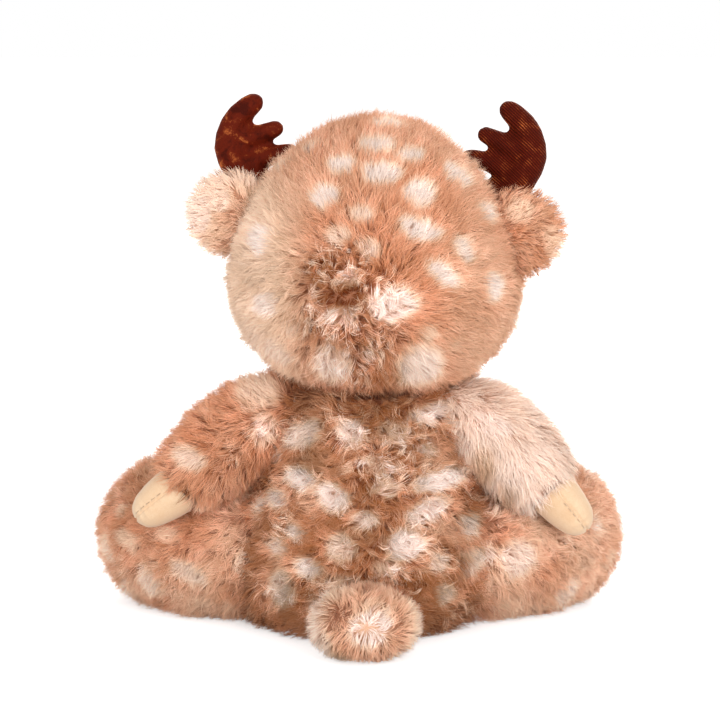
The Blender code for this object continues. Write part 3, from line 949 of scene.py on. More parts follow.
@dataclass
class Coat:
    """Pile that grows out of a skin, combed and coloured strand by strand."""

    skin: Skin
    pile: Pile
    comb: Callable[[Array, Array], Array]
    dye: Dye
    seed: int
    reach: Callable[[Array], Array] = even
    segments: int = 3
    dye_share: float = 0.85
    bleed: float = 0.0006
    pale_share: float = 0.34
    pale_gain: float = 0.70
    pale_light: float = 0.50
    tone_spread: float = 0.045
    shade_spread: float = 0.07
    wisp_spread: float = 0.09

    def covered(self, points: Array, lines: Array) -> Array:
        """Which points of the skin are covered by another piece.

        Args:
            points: the skin's points.
            lines: their normals.

        Returns:
            One where covered and nought where open.
        """
        low = points.min(axis=0) - 0.01
        high = points.max(axis=0) + 0.01
        hidden = np.zeros(len(points))
        for name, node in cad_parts.items():
            corner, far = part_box(name)
            away = (np.array(far) < low).any() or (np.array(corner) > high).any()
            if name == self.skin.node or away:
                continue
            tree = tree_of(node)
            for k in np.flatnonzero(hidden == 0.0):
                ahead = Vector(points[k] + lines[k] * 0.0035)
                found = tree.find_nearest(ahead, 0.02)
                if found[0] is not None and (ahead - found[0]).dot(found[1]) < 0.0:
                    hidden[k] = 1.0
        return hidden

    def roots(self) -> Dict[str, Array]:
        """Chooses where the strands stand, evenly over the open skin.

        Returns:
            Their places, normals, combed directions, lengths and how ruffled they are.
        """
        mesh = self.skin.item.data
        mesh.calc_loop_triangles()
        points, lines = points_of(mesh)
        flow = self.comb(points, lines)
        flow = unit(flow - (flow * lines).sum(axis=1, keepdims=True) * lines)
        hidden = self.covered(points, lines)
        corners = np.empty(len(mesh.loop_triangles) * 3, dtype=np.int32)
        mesh.loop_triangles.foreach_get("vertices", corners)
        corners = corners.reshape(-1, 3)
        a, b, c = (points[corners[:, k]] for k in range(3))
        area = np.linalg.norm(np.cross(b - a, c - a), axis=1) / 2
        wanted = area * (1.0 - hidden[corners].mean(axis=1))
        rng = np.random.default_rng(self.seed)
        total = int(wanted.sum() * self.pile.per_square * (1.0))
        chosen = rng.choice(len(area), size=total, p=wanted / wanted.sum())
        u, v = rng.random((2, total))
        over = u + v > 1.0
        u[over] = 1.0 - u[over]
        v[over] = 1.0 - v[over]
        shares = np.stack([1.0 - u - v, u, v], axis=1)
        picked = corners[chosen]
        told = np.stack([self.dye.tone(points), self.dye.shade(points), hidden * 0.0], axis=1)
        attribute = mesh.attributes.new(STRAND, "FLOAT_VECTOR", "POINT")
        attribute.data.foreach_set("vector", told.astype(np.float32).ravel())
        return {
            "place": (points[picked] * shares[:, :, None]).sum(axis=1),
            "line": unit((lines[picked] * shares[:, :, None]).sum(axis=1)),
            "flow": unit((flow[picked] * shares[:, :, None]).sum(axis=1)),
            "reach": (self.reach(points)[picked] * shares).sum(axis=1),
            "mess": (self.dye.ruffled(points)[picked] * shares).sum(axis=1),
        }

    def leaders(self, place: Array) -> Array:
        """For each strand, the number of the strand that its wisp gathers round."""
        pile = self.pile
        thinned = 1.0
        number = max(8, int(len(place) / (pile.per_square * pile.wisp ** 2) * thinned))
        number = min(number, len(place))
        tree = KDTree(number)
        for k in range(number):
            tree.insert(place[k], k)
        tree.balance()
        return np.fromiter((tree.find(point)[1] for point in place), np.int64, len(place))

    def paths(self, roots: Dict[str, Array], leader: Array,
              rng: np.random.Generator) -> Array:
        """Runs each strand from its root: out of the cloth, over along the lay, into its wisp.

        Args:
            roots: what was chosen for the strands.
            leader: the number of the strand that each one gathers round.
            rng: the random numbers.

        Returns:
            The points of every strand, root first.
        """
        pile, place, line, mess = self.pile, roots["place"], roots["line"], roots["mess"]
        count = len(place)
        across = np.cross(line, roots["flow"])
        spread = pile.ruffle * (1.0 + 1.8 * mess)
        wave = drift(place, 0.013, self.seed + 1)
        turn = spread * (1.2 * wave + 0.8 * rng.normal(size=count)[leader])
        turn = turn + rng.normal(0.0, pile.turn_spread, count)
        bend = (pile.sway + pile.curl * mess) * rng.normal(size=count)[leader]
        bend = bend + rng.normal(0.0, pile.bend_spread, count)
        lift = 1.0 + 1.6 * mess
        tilt = pile.wisp_tilt * rng.normal(size=count)[leader]
        tilt = (tilt + pile.slow_tilt * drift(place, 0.008, self.seed + 2)) * lift
        tilt = tilt + rng.normal(0.0, pile.tilt_spread, count)
        stray = rng.random(count) < pile.stray_share
        tilt = tilt - np.where(stray, pile.stray_rise, 0.0)
        tilt = tilt - pile.drop * mess * rng.random(count)[leader]
        length = pile.length * roots["reach"] * (
            1.0 + pile.uneven_share * rng.uniform(-1.0, 0.6, count))
        path = np.empty((count, self.segments + 1, 3))
        path[:, 0] = place
        for k in range(self.segments):
            share = (k + 0.5) / self.segments
            angle = np.radians(turn + bend * share)[:, None]
            heading = roots["flow"] * np.cos(angle) + across * np.sin(angle)
            lean = np.radians(np.clip(
                pile.root_lean + (pile.tip_lean - pile.root_lean) * share + tilt, 4.0, 87.0))
            way = line * np.cos(lean)[:, None] + heading * np.sin(lean)[:, None]
            path[:, k + 1] = path[:, k] + way * (length / self.segments)[:, None]
        lock = 0.3 + 2.2 * rng.random(count)[leader] ** 2
        gather = (pile.gather_share * lock + 0.40 * mess) * rng.uniform(0.6, 1.2, count)
        gather = np.where(stray, 0.1, np.minimum(gather, 0.85))
        along = np.linspace(0.0, 1.0, self.segments + 1)
        pull = gather[:, None] * along[None, :] ** 1.2
        path = path + (path[leader] - path) * pull[:, :, None]
        path += rng.normal(0.0, pile.tremble, path.shape) * along[None, :, None]
        floor = FLOOR_ROOM + 0.0010 * rng.random(count)
        path[:, :, 2] = np.maximum(path[:, :, 2], floor[:, None])
        return path

    def cover(self, name: str, cloths: "Cloths") -> None:
        """Grows the pile and finishes the skin below it.

        Args:
            name: what the pile's pieces are called, with a number after it.
            cloths: the shared materials.
        """
        self.grow(name, cloths.pile)
        self.skin.dress(cloths.backing)

    def grow(self, name: str, material: bpy.types.Material) -> None:
        """Makes the strands, in pieces of a size that stays easy to handle.

        Args:
            name: what the pieces are called, with a number after it.
            material: their finish.
        """
        rng = np.random.default_rng(self.seed + 7)
        roots = self.roots()
        leader = self.leaders(roots["place"])
        path = self.paths(roots, leader, rng)
        count, rings = path.shape[:2]
        seen = path[:, :1] + self.dye_share * (path - path[:, :1])
        seen = seen + rng.normal(0.0, self.bleed, (count, 1, 3))
        tone = self.dye.tone(seen.reshape(-1, 3)).reshape(count, rings)
        along = np.linspace(0.0, 1.0, rings)[None, :]
        lot, own = rng.random(count)[leader], rng.random(count)
        pale = (0.7 * lot + 0.3 * own < self.pale_share) * self.pale_gain
        pale = pale * eased(0.20, 0.75, roots["mess"])
        tone = tone + rng.normal(0.0, self.tone_spread, (count, 1)) + pale[:, None] * along
        tone = np.clip(tone, 0.0, 1.0)
        shade = self.dye.shade(path[:, 0]) + rng.normal(0.0, self.shade_spread, count)
        shade = shade + rng.normal(0.0, self.wisp_spread, count)[leader] + self.pale_light * pale
        shade = np.round(np.clip(shade, 0.0, 1.0) * (SHADE_LEVELS - 1))
        along = along ** (0.55 + 1.2 * roots["mess"][:, None])
        turned = np.arctan2(*(path[:, 0, :2] - path[:, 0, :2].mean(axis=0)).T)
        order = np.argsort(turned, kind="stable")
        groups = max(1, math.ceil(count / PIECE_STRANDS))
        for k, chosen in enumerate(np.array_split(order, groups)):
            item = self.ribbons(f"{name}_{k + 1}", path[chosen], roots["line"][chosen],
                                np.stack([tone[chosen], np.tile(shade[chosen, None], rings),
                                          along[chosen]], axis=2), rng)
            self.skin.adopt(item, material)
        logger.info("%s: %d strands in %d pieces", name, count, groups)

    def ribbons(self, name: str, path: Array, line: Array, told: Array,
                rng: np.random.Generator) -> Mesh:
        """Turns paths into narrow ribbons that taper to a point and face away from the skin.

        Args:
            name: the piece's name.
            path: the strands' points.
            line: the skin's normal at each root.
            told: tone, shade level and place along the strand at each point.
            rng: the random numbers.

        Returns:
            The piece.
        """
        count, rings = len(path), self.segments
        roll = np.clip(rng.normal(0.0, 0.5, count), -0.95, 0.95)
        tipped = rng.normal(0.0, 0.05, (count, 3))
        span = self.pile.width * rng.uniform(0.75, 1.25, count)
        verts = np.empty((count, rings * 2 + 1, 3))
        normals = np.empty_like(verts)
        for k in range(rings + 1):
            way = unit(path[:, min(k + 1, rings)] - path[:, max(k - 1, 0)])
            flat = unit(np.cross(way, line))
            up = np.cross(flat, way)
            edge = flat * np.cos(roll)[:, None] + up * np.sin(roll)[:, None]
            soft = unit(line + self.pile.glint_share * np.cross(edge, way) + tipped)
            if k == rings:
                verts[:, -1], normals[:, -1] = path[:, -1], soft
                continue
            half = span / 2 * (1.0 if k else self.pile.root_share)
            half = half * (1.0 - self.pile.taper * (k / rings) ** 2)
            verts[:, 2 * k] = path[:, k] - edge * half[:, None]
            verts[:, 2 * k + 1] = path[:, k] + edge * half[:, None]
            normals[:, 2 * k] = normals[:, 2 * k + 1] = soft
        verts[:, :, 2] = np.maximum(verts[:, :, 2], FLOOR_ROOM * 0.6)
        ring = np.append(np.repeat(np.arange(rings), 2), rings)
        return self.strips(name, verts, normals, told[:, ring])

    def strips(self, name: str, verts: Array, normals: Array, told: Array) -> Mesh:
        """Makes the mesh of a set of ribbons, with their colours and their bake layout.

        Args:
            name: the piece's name.
            verts: each ribbon's points, in pairs and then the tip.
            normals: their normals.
            told: tone, shade level and place along the strand at each of them.

        Returns:
            The piece.
        """
        count, per = verts.shape[:2]
        rings = self.segments
        loops, sizes = [], [4] * (rings - 1) + [3]
        for k in range(rings - 1):
            loops += [2 * k, 2 * k + 1, 2 * k + 3, 2 * k + 2]
        loops += [2 * rings - 2, 2 * rings - 1, 2 * rings]
        start = (np.arange(count) * per)[:, None]
        index = (start + np.array(loops)[None, :]).ravel().astype(np.int32)
        size = np.tile(np.array(sizes), count)
        mesh = bpy.data.meshes.new(name)
        mesh.vertices.add(count * per)
        mesh.vertices.foreach_set("co", verts.ravel())
        mesh.loops.add(len(index))
        mesh.loops.foreach_set("vertex_index", index)
        mesh.polygons.add(len(size))
        mesh.polygons.foreach_set("loop_start", (np.cumsum(size) - size).astype(np.int32))
        mesh.update(calc_edges=True)
        mesh.shade_smooth()
        levels = told.astype(np.float32).copy()
        levels[:, :, 1] /= SHADE_LEVELS - 1
        attribute = mesh.attributes.new(STRAND, "FLOAT_VECTOR", "POINT")
        attribute.data.foreach_set("vector", levels.ravel())
        low, high = told[:, :, :2].min(axis=(0, 1)), told[:, :, :2].max(axis=(0, 1))
        width = np.append(np.tile([-0.004, 0.004], rings), 0.0)
        across = (told[:, :, 0] - low[0]) / max(high[0] - low[0], 1e-3)
        band = told[:, :, 1] - low[1] + 0.04 + 0.92 * told[:, :, 2]
        layout = np.stack([0.01 + 0.98 * across + width, band / (high[1] - low[1] + 1.0)], axis=2)
        chart = mesh.uv_layers.new(name="OFBake")
        chart.data.foreach_set("uv", layout.reshape(-1, 2)[index].astype(np.float32).ravel())
        mesh.normals_split_custom_set_from_vertices(normals.reshape(-1, 3))
        return placed(name, mesh)


@dataclass(frozen=True)
class Thread:
    """Round thread, laid in short runs on a piece."""

    radius: float
    sides: int = 6

    def lay(self, name: str, runs: Sequence[Array], skin: Skin,
            material: bpy.types.Material) -> None:
        """Makes the runs of thread as one piece.

        Args:
            name: the piece's name.
            runs: the points of each run.
            skin: the form that it is sewn to.
            material: its finish.
        """
        verts: List[Array] = []
        faces: List[Tuple[int, ...]] = []
        for run in runs:
            base = len(verts)
            for k, point in enumerate(run):
                way = unit(run[min(k + 1, len(run) - 1)] - run[max(k - 1, 0)])
                aside = unit(np.cross(way, np.array((0.13, 0.31, 0.94))))
                above = np.cross(way, aside)
                size = self.radius * (0.55 if k in (0, len(run) - 1) else 1.0)
                for corner in range(self.sides):
                    angle = math.tau * corner / self.sides
                    verts.append(point + size * (
                        aside * math.cos(angle) + above * math.sin(angle)))
            for k in range(len(run) - 1):
                for corner in range(self.sides):
                    after = (corner + 1) % self.sides
                    here, there = base + k * self.sides, base + (k + 1) * self.sides
                    faces.append((here + corner, here + after, there + after, there + corner))
            faces.append(tuple(base + corner for corner in reversed(range(self.sides))))
            last = base + (len(run) - 1) * self.sides
            faces.append(tuple(last + corner for corner in range(self.sides)))
        mesh = bpy.data.meshes.new(name)
        mesh.from_pydata([tuple(vert) for vert in verts], [], faces)
        mesh.shade_smooth()
        skin.adopt(placed(name, mesh), material)
        logger.info("%s: %d runs of thread", name, len(runs))


@dataclass
class Cloths:
    """The materials that more than one sub-assembly is made of."""

    pile: bpy.types.Material
    backing: bpy.types.Material
    suede: bpy.types.Material
    stitch: bpy.types.Material
    plush: bpy.types.Material


@dataclass
class Head:
    """The head: a stuffed ball under long pile that turns out from a whorl at the back."""

    whorl: Point = (0.005, 0.071, 0.177)
    muzzle: Point = (-0.015, -0.060, 0.173)
    pile: Pile = Pile(length=0.0128)
    antler_room: float = 0.015
    eye_room: float = 0.021

    def comb(self, points: Array, lines: Array) -> Array:
        """The lay of the pile: away from the whorl, with a twist near it, and down at the sides.

        Args:
            points: the skin's points.
            lines: their normals.

        Returns:
            Directions.
        """
        away = points - np.array(self.whorl)
        near = 1.0 - eased(0.012, 0.055, np.linalg.norm(away, axis=1))[:, None]
        out = soft_unit(away, 0.010)
        twist = np.cross(lines, out)
        sides = eased(0.02, 0.06, np.abs(points[:, :1] + 0.008))
        down = np.array((0.0, 0.0, -0.30)) * sides
        return out + 0.75 * near * twist + down + 0.28 * swirl(points, 0.014, 27)

    def ground(self, points: Array) -> Array:
        """The tone between the spots: paler on the left and round the muzzle.

        Args:
            points: places on the skin.

        Returns:
            Tones.
        """
        cheek = 0.50 * eased(0.016, 0.052, points[:, 0])
        cheek = cheek * (1.0 - 0.6 * eased(0.212, 0.245, points[:, 2]))
        mouth = np.linalg.norm(points - np.array(self.muzzle), axis=1)
        face = 0.85 * (1.0 - eased(0.022, 0.042, mouth))
        right = 0.16 * eased(0.030, 0.062, -points[:, 0])
        cloud = 0.10 * drift(points, 0.02, 21)
        return np.maximum(np.maximum(cheek, face), right) + 0.07 + cloud

    def reach(self, points: Array) -> Array:
        """How long the pile is, as a share: short round antlers and eyes, long at the nape."""
        gap = 1.12 - 0.12 * eased(0.130, 0.150, points[:, 2])
        for side in Side:
            tree = tree_of(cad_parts[f"antler_{side.word}"])
            found = [tree.find_nearest(Vector(point), 0.03)[3] for point in points]
            away = np.array([0.03 if value is None else value for value in found])
            gap = np.minimum(gap, 0.30 + 0.70 * eased(0.002, self.antler_room, away))
            corner, far = (np.array(point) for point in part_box(f"eye_{side.word}"))
            away = np.linalg.norm(points - (corner + far) / 2, axis=1)
            gap = np.minimum(gap, 0.16 + 0.84 * eased(0.007, self.eye_room, away))
        return gap

    def build(self, cloths: Cloths) -> None:
        """Builds and dresses the head.

        Args:
            cloths: the shared materials.
        """
        skin = Skin("head", "head", "fur").build("head_skin")
        dye = Dye.on(skin.item, 31, self.ground, HEAD_SPOTS, HEAD_DARK, HEAD_MESS, level=0.51)
        dye.spots.scatter(
            skin.item, lambda p: (p[:, 1] < 0.010) & (p[:, 1] > -0.045) & (p[:, 2] > 0.16),
            0.023, 0.015)
        Coat(skin, self.pile, self.comb, dye, 101, self.reach).cover("head_fur", cloths)


@dataclass
class Torso:
    """The body: pear shaped, its pile combed out from the spine and down."""

    spine: float = -0.0085
    pile: Pile = Pile(length=0.0128, ruffle=24.0)

    def comb(self, points: Array, lines: Array) -> Array:
        """The lay of the pile.

        Args:
            points: the skin's points.
            lines: their normals, not used.

        Returns:
            Directions.
        """
        side = np.clip((points[:, 0] - self.spine) / 0.016, -1.0, 1.0)
        rise = -0.50 - 0.6 * eased(0.0, 0.03, -points[:, 1])
        lay = np.stack([side, np.zeros(len(points)), rise], axis=1)
        return lay + 0.36 * swirl(points, 0.014, 37)

    def ground(self, points: Array) -> Array:
        """The tone between the spots: cream on the belly."""
        belly = 0.75 * eased(0.012, 0.036, -points[:, 1])
        return np.maximum(belly, 0.05 + 0.14 * drift(points, 0.016, 41))

    def reach(self, points: Array) -> Array:
        """How long the pile is, as a share: longer on the shoulders and low on the flanks."""
        across, height = points[:, 0], points[:, 2]
        shoulder = eased(0.088, 0.108, height) * eased(0.018, 0.040, np.abs(across + 0.006))
        flank = eased(0.040, 0.052, np.abs(across)) * (1.0 - eased(0.06, 0.09, height))
        return 1.0 + 0.40 * shoulder + 0.40 * flank

    def build(self, cloths: Cloths) -> None:
        """Builds and dresses the body, the base panel, the weight bag and the neck plug.

        Args:
            cloths: the shared materials.
        """
        skin = Skin("torso", "root", "fur").build("torso_skin")
        # The low shade level darkens the whole back: partly its deeper caramel, partly painted
        # shadow from the head above.
        dye = Dye.on(skin.item, 33, self.ground, BACK_SPOTS, BACK_DARK, BACK_MESS, level=0.09,
                     clouds=0.26, rough=0.55, lift=0.62)
        dye.spots.scatter(skin.item, lambda p: (p[:, 1] < 0.020) & (p[:, 1] > -0.02), 0.022, 0.014)
        Coat(skin, self.pile, self.comb, dye, 103, self.reach).cover("torso_fur", cloths)
        panel = Skin("seat_panel", "root", "base", voxel=0.0022, swell=0.0004, inset=0.0005,
                     smoothing=2, fill=Stuffing.SOFT).build("base_cloth")
        panel.dress(cloths.plush)
        bag = Skin("pellet_pouch", "root", "pouch", voxel=0.003, swell=0.0005, smoothing=1,
                   fill=Stuffing.TIGHT).build("weight_bag")
        bag.dress(WovenFinish((0.78, 0.76, 0.70), (0.48, 0.46, 0.40)).material("bag_cloth"))
        plug = Skin("neck", "neck", "fur", swell=0.0004, fill=Stuffing.TIGHT).build("neck_plug")
        plug.dress(WovenFinish((0.72, 0.56, 0.42), (0.40, 0.28, 0.18)).material("plug_cloth"))


@dataclass
class Arm:
    """An arm that hangs onto the leg, combed out from a whorl at its shoulder."""

    side: Side
    whorl: Point
    wrist: Point
    tip: Point
    spots: Sequence[Row]
    dark: Sequence[Row]
    paleness: float
    level: float
    rough: float
    pile: Pile = Pile(length=0.0122, ruffle=13.0, sway=16.0, gather_share=0.22)

    def comb(self, points: Array, lines: Array) -> Array:
        """The lay of the pile: away from the whorl and towards the hoof."""
        along = unit(np.array(self.wrist) - np.array(self.whorl))
        away = points - np.array(self.whorl)
        return soft_unit(away, 0.030) + 1.30 * along + 0.4 * swirl(points, 0.014, 57)

    def ground(self, points: Array) -> Array:
        """The tone between the spots."""
        return self.paleness + 0.13 * drift(points, 0.018, 51 + self.side.value)

    def build(self, cloths: Cloths) -> None:
        """Builds and dresses the arm and its hoof.

        Args:
            cloths: the shared materials.
        """
        word = self.side.word
        skin = Skin(f"arm_{word}", f"arm_{word}", "fur", voxel=0.004).build(f"arm_skin_{word}")
        dye = Dye.on(skin.item, 35 + 4 * self.side.value, self.ground, self.spots, self.dark,
                     level=self.level, rough=self.rough)
        dye.spots.scatter(skin.item, lambda p: p[:, 1] < 0.004, 0.021, 0.014)
        Coat(skin, self.pile, self.comb, dye, 110 + self.side.value).cover(
            f"arm_fur_{word}", cloths)
        hoof = Hoof(f"arm_hoof_{word}", f"arm_{word}", self.wrist, self.tip, (0.0, 1.0, 0.35))
        hoof.build(cloths)


@dataclass
class Leg:
    """A thick leg that lies on the floor, combed out from a whorl at its hip."""

    side: Side
    spots: Sequence[Row]
    whorl: Point
    ankle: Point
    tip: Point
    pile: Pile = Pile(length=0.0128, ruffle=24.0)

    def comb(self, points: Array, lines: Array) -> Array:
        """The lay of the pile: out from the hip, and down below it."""
        away = points - np.array(self.whorl)
        along = unit(np.array(self.ankle) - np.array(self.whorl))
        low = 0.35 * eased(-0.01, 0.02, -away[:, 2:])
        down = np.array((0.0, 0.0, -1.0)) * low
        return soft_unit(away, 0.032) + 0.55 * along + down + 0.40 * swirl(points, 0.015, 67)

    def ground(self, points: Array) -> Array:
        """The tone between the spots."""
        return 0.18 + 0.06 * (self.side is Side.RIGHT) + 0.20 * drift(
            points, 0.018, 61 + self.side.value)

    def reach(self, points: Array) -> Array:
        """How long the pile is, as a share: longer low at the back, where it meets the floor."""
        low = 1.0 - eased(0.008, 0.028, points[:, 2])
        return 1.0 + 0.28 * low * eased(-0.03, 0.01, points[:, 1])

    def build(self, cloths: Cloths) -> None:
        """Builds and dresses the leg and its hoof.

        Args:
            cloths: the shared materials.
        """
        word = self.side.word
        skin = Skin(f"leg_{word}", f"leg_{word}", "fur", voxel=0.0045).build(f"leg_skin_{word}")
        dye = Dye.on(skin.item, 47 + 4 * self.side.value, self.ground, self.spots, rough=0.42,
                     level=0.59 - 0.05 * self.side.value, clouds=0.26)
        dye.spots.scatter(skin.item, lambda p: p[:, 1] < -0.005, 0.023, 0.015)
        Coat(skin, self.pile, self.comb, dye, 120 + self.side.value, self.reach).cover(
            f"leg_fur_{word}", cloths)
        hoof = Hoof(f"leg_hoof_{word}", f"leg_{word}", self.ankle, self.tip, (0.0, -0.45, 1.0))
        hoof.build(cloths)


@dataclass
class Hoof:
    """A suede hoof with a seam over its tip, closed with small stitches."""

    node: str
    body: str
    root: Point
    tip: Point
    outward: Point
    seam_depth: float = 0.0010
    seam_width: float = 0.0007
    seam_room: float = 0.0014
    pucker_height: float = 0.00020
    first_stitch: float = 0.35
    stitches: int = 6
    stitch_length: float = 0.0024

    def along(self) -> Array:
        """The way from the root to the tip."""
        return np.array(self.tip) - np.array(self.root)

    def seam_share(self, points: Array) -> Tuple[Array, Array]:
        """Where points lie about the seam.

        Args:
            points: the hoof's points.

        Returns:
            The distance from the seam's plane and the place from root to tip.
        """
        along = self.along()
        away = points - np.array(self.root)
        return away @ self.aside(), (away @ along) / np.linalg.norm(along) ** 2

    def aside(self) -> Array:
        """The direction across the seam."""
        return unit(np.cross(self.along(), np.array(self.outward)))

    def sew(self, skin: Skin, cloths: Cloths) -> None:
        """Lays the stitches beside the seam, where it faces outward.

        Args:
            skin: the hoof's suede.
            cloths: the shared materials.
        """
        tree = tree_of(skin.item)
        along = self.along()
        outward = unit(np.array(self.outward))
        runs = []
        for share in np.linspace(self.first_stitch, 1.0, self.stitches):
            run = []
            for step in (-0.5, -0.2, 0.2, 0.5):
                place = np.array(self.root) + along * share + self.aside() * self.seam_room
                place = place + unit(along) * step * self.stitch_length + outward * 0.05
                found, line = tree.ray_cast(Vector(place), Vector(-outward))[:2]
                if found is not None:
                    run.append(np.array(found) + np.array(line) * (0.0008 * (0.45 - abs(step))))
            if len(run) == 4:
                runs.append(np.array(run))
        Thread(0.00027).lay(f"{self.node}_stitches", runs, skin, cloths.stitch)

    def build(self, cloths: Cloths) -> None:
        """Builds and dresses the hoof: swollen suede, drawn in along its seam.

        Args:
            cloths: the shared materials.
        """
        skin = Skin(self.node, self.body, "suede", voxel=0.0020, swell=0.0008, inset=0.0004,
                    rounds=2, smoothing=6, fill=Stuffing.TIGHT).build(f"{self.node}_suede")
        points, lines = points_of(skin.item.data)
        away, place = self.seam_share(points)
        depth = self.seam_depth * np.exp(-(away / self.seam_width) ** 2)
        pucker = self.pucker_height * np.sin(place * 46.0) * np.exp(-(away / 0.004) ** 2)
        reshape(skin.item, points + lines * (pucker - depth)[:, None])
        self.sew(skin, cloths)
        skin.dress(cloths.suede)


@dataclass
class Tail:
    """The pompon tail: dense, nearly upright pile, off-white at its heart."""

    centre: Point = (-0.0020, 0.0965, 0.0175)
    pile: Pile = Pile(length=0.0082, per_square=2.4e6, width=0.00024, root_lean=26.0, tip_lean=62.0,
                      ruffle=40.0, wisp=0.0028, gather_share=0.18, sway=45.0)

    def comb(self, points: Array, lines: Array) -> Array:
        """The lay of the pile: away from the heart of the back."""
        away = points - (np.array(self.centre) + np.array((0.0, 0.03, 0.003)))
        return soft_unit(away, 0.012) + 0.9 * swirl(points, 0.009, 77)

    def ground(self, points: Array) -> Array:
        """The tone: off-white heart, caramel ring, pale rim."""
        across, height = (points[:, k] - self.centre[k] for k in (0, 2))
        away = np.hypot(across + 0.003, height - 0.002) + 0.003 * drift(points, 0.006, 71)
        heart = 0.80 * (1.0 - eased(0.006, 0.014, away))
        rim = 0.55 * eased(0.016, 0.027, away)
        return np.maximum(heart, rim) + 0.20

    def reach(self, points: Array) -> Array:
        """How long the pile is, as a share: longer at the root of the tail."""
        return 1.0 + 0.75 * (1.0 - eased(0.080, 0.094, points[:, 1]))

    def build(self, cloths: Cloths) -> None:
        """Builds and dresses the tail.

        Args:
            cloths: the shared materials.
        """
        skin = Skin("tail", "tail", "fur", voxel=0.004, fill=Stuffing.SOFT).build("tail_skin")
        dye = Dye.on(skin.item, 71, self.ground, (), TAIL_DARK, (), level=0.64)
        Coat(skin, self.pile, self.comb, dye, 131, self.reach).cover("tail_fur", cloths)


@dataclass
class Ear:
    """An ear: a pale furred lobe with a short plush lining on its front."""

    side: Side
    root: Point
    spots: Sequence[Row]
    paleness: float
    level: float
    pile: Pile = Pile(length=0.0068, per_square=2.8e6, width=0.00023, root_lean=48.0, tip_lean=79.0,
                      wisp=0.0022, ruffle=16.0, sway=24.0, uneven_share=0.5,
                      gather_share=0.16)
    lining_pile: Pile = Pile(length=0.0020, per_square=3.2e6, width=0.00022, root_lean=15.0,
                             tip_lean=40.0, wisp=0.0014, gather_share=0.2, stray_share=0.0)

    def comb(self, points: Array, lines: Array) -> Array:
        """The lay of the pile: from the root to the rim."""
        return points - np.array(self.root) + np.array((self.side.value * 0.012, 0.0, 0.002))

    def ground(self, points: Array) -> Array:
        """The tone: pale all over, darker by the root, and darker still below the root near the
        head, which is painted shade.
        """
        away = np.linalg.norm(points - np.array(self.root), axis=1)
        # Painted shade: the tone drops below the root, near the head, where the ear meets it.
        under = 1.0 - eased(self.root[2] - 0.016, self.root[2] - 0.002, points[:, 2])
        near = 1.0 - eased(0.012, 0.026, away)
        pale = self.paleness * (0.35 + 0.65 * eased(0.004, 0.024, away))
        return pale * (1.0 - 0.65 * under * near) + 0.10 * drift(points, 0.008, 81)

    def cream(self, points: Array) -> Array:
        """The tone of the lining."""
        return 0.80 + 0.05 * drift(points, 0.01, 85)

    def build(self, cloths: Cloths) -> None:
        """Builds and dresses the ear.

        Args:
            cloths: the shared materials.
        """
        word = self.side.word
        body = f"ear_{word}"
        skin = Skin(body, body, "fur", voxel=0.0022, swell=0.0008, inset=0.0006, smoothing=3,
                    fill=Stuffing.SOFT).build(f"ear_skin_{word}")
        dye = Dye.on(skin.item, 81, self.ground, self.spots, level=self.level, rough=0.2)
        Coat(skin, self.pile, self.comb, dye, 140 + self.side.value).cover(
            f"ear_fur_{word}", cloths)
        inner = Skin(f"ear_lining_{word}", body, "lining", voxel=0.0022, swell=0.0006,
                     inset=0.0005, smoothing=3, fill=Stuffing.SOFT).build(f"ear_inner_{word}")
        cream = Dye.on(inner.item, 85, self.cream, level=0.58)
        Coat(inner, self.lining_pile, self.comb, cream, 144 + self.side.value).cover(
            f"ear_plush_{word}", cloths)


@dataclass
class Antler:
    """A stuffed velvet antler."""

    side: Side
    nap: Nap

    def build(self, cloths: Cloths) -> None:
        """Builds and dresses the antler.

        Args:
            cloths: the shared materials, not used.
        """
        body = f"antler_{self.side.word}"
        skin = Skin(body, body, "velvet", voxel=0.0011, swell=0.0004, inset=0.0003, smoothing=3,
                    fill=Stuffing.TIGHT).build(f"antler_velvet_{self.side.word}")
        skin.dress(VelvetFinish(self.nap).material(f"velvet_{self.side.word}"))


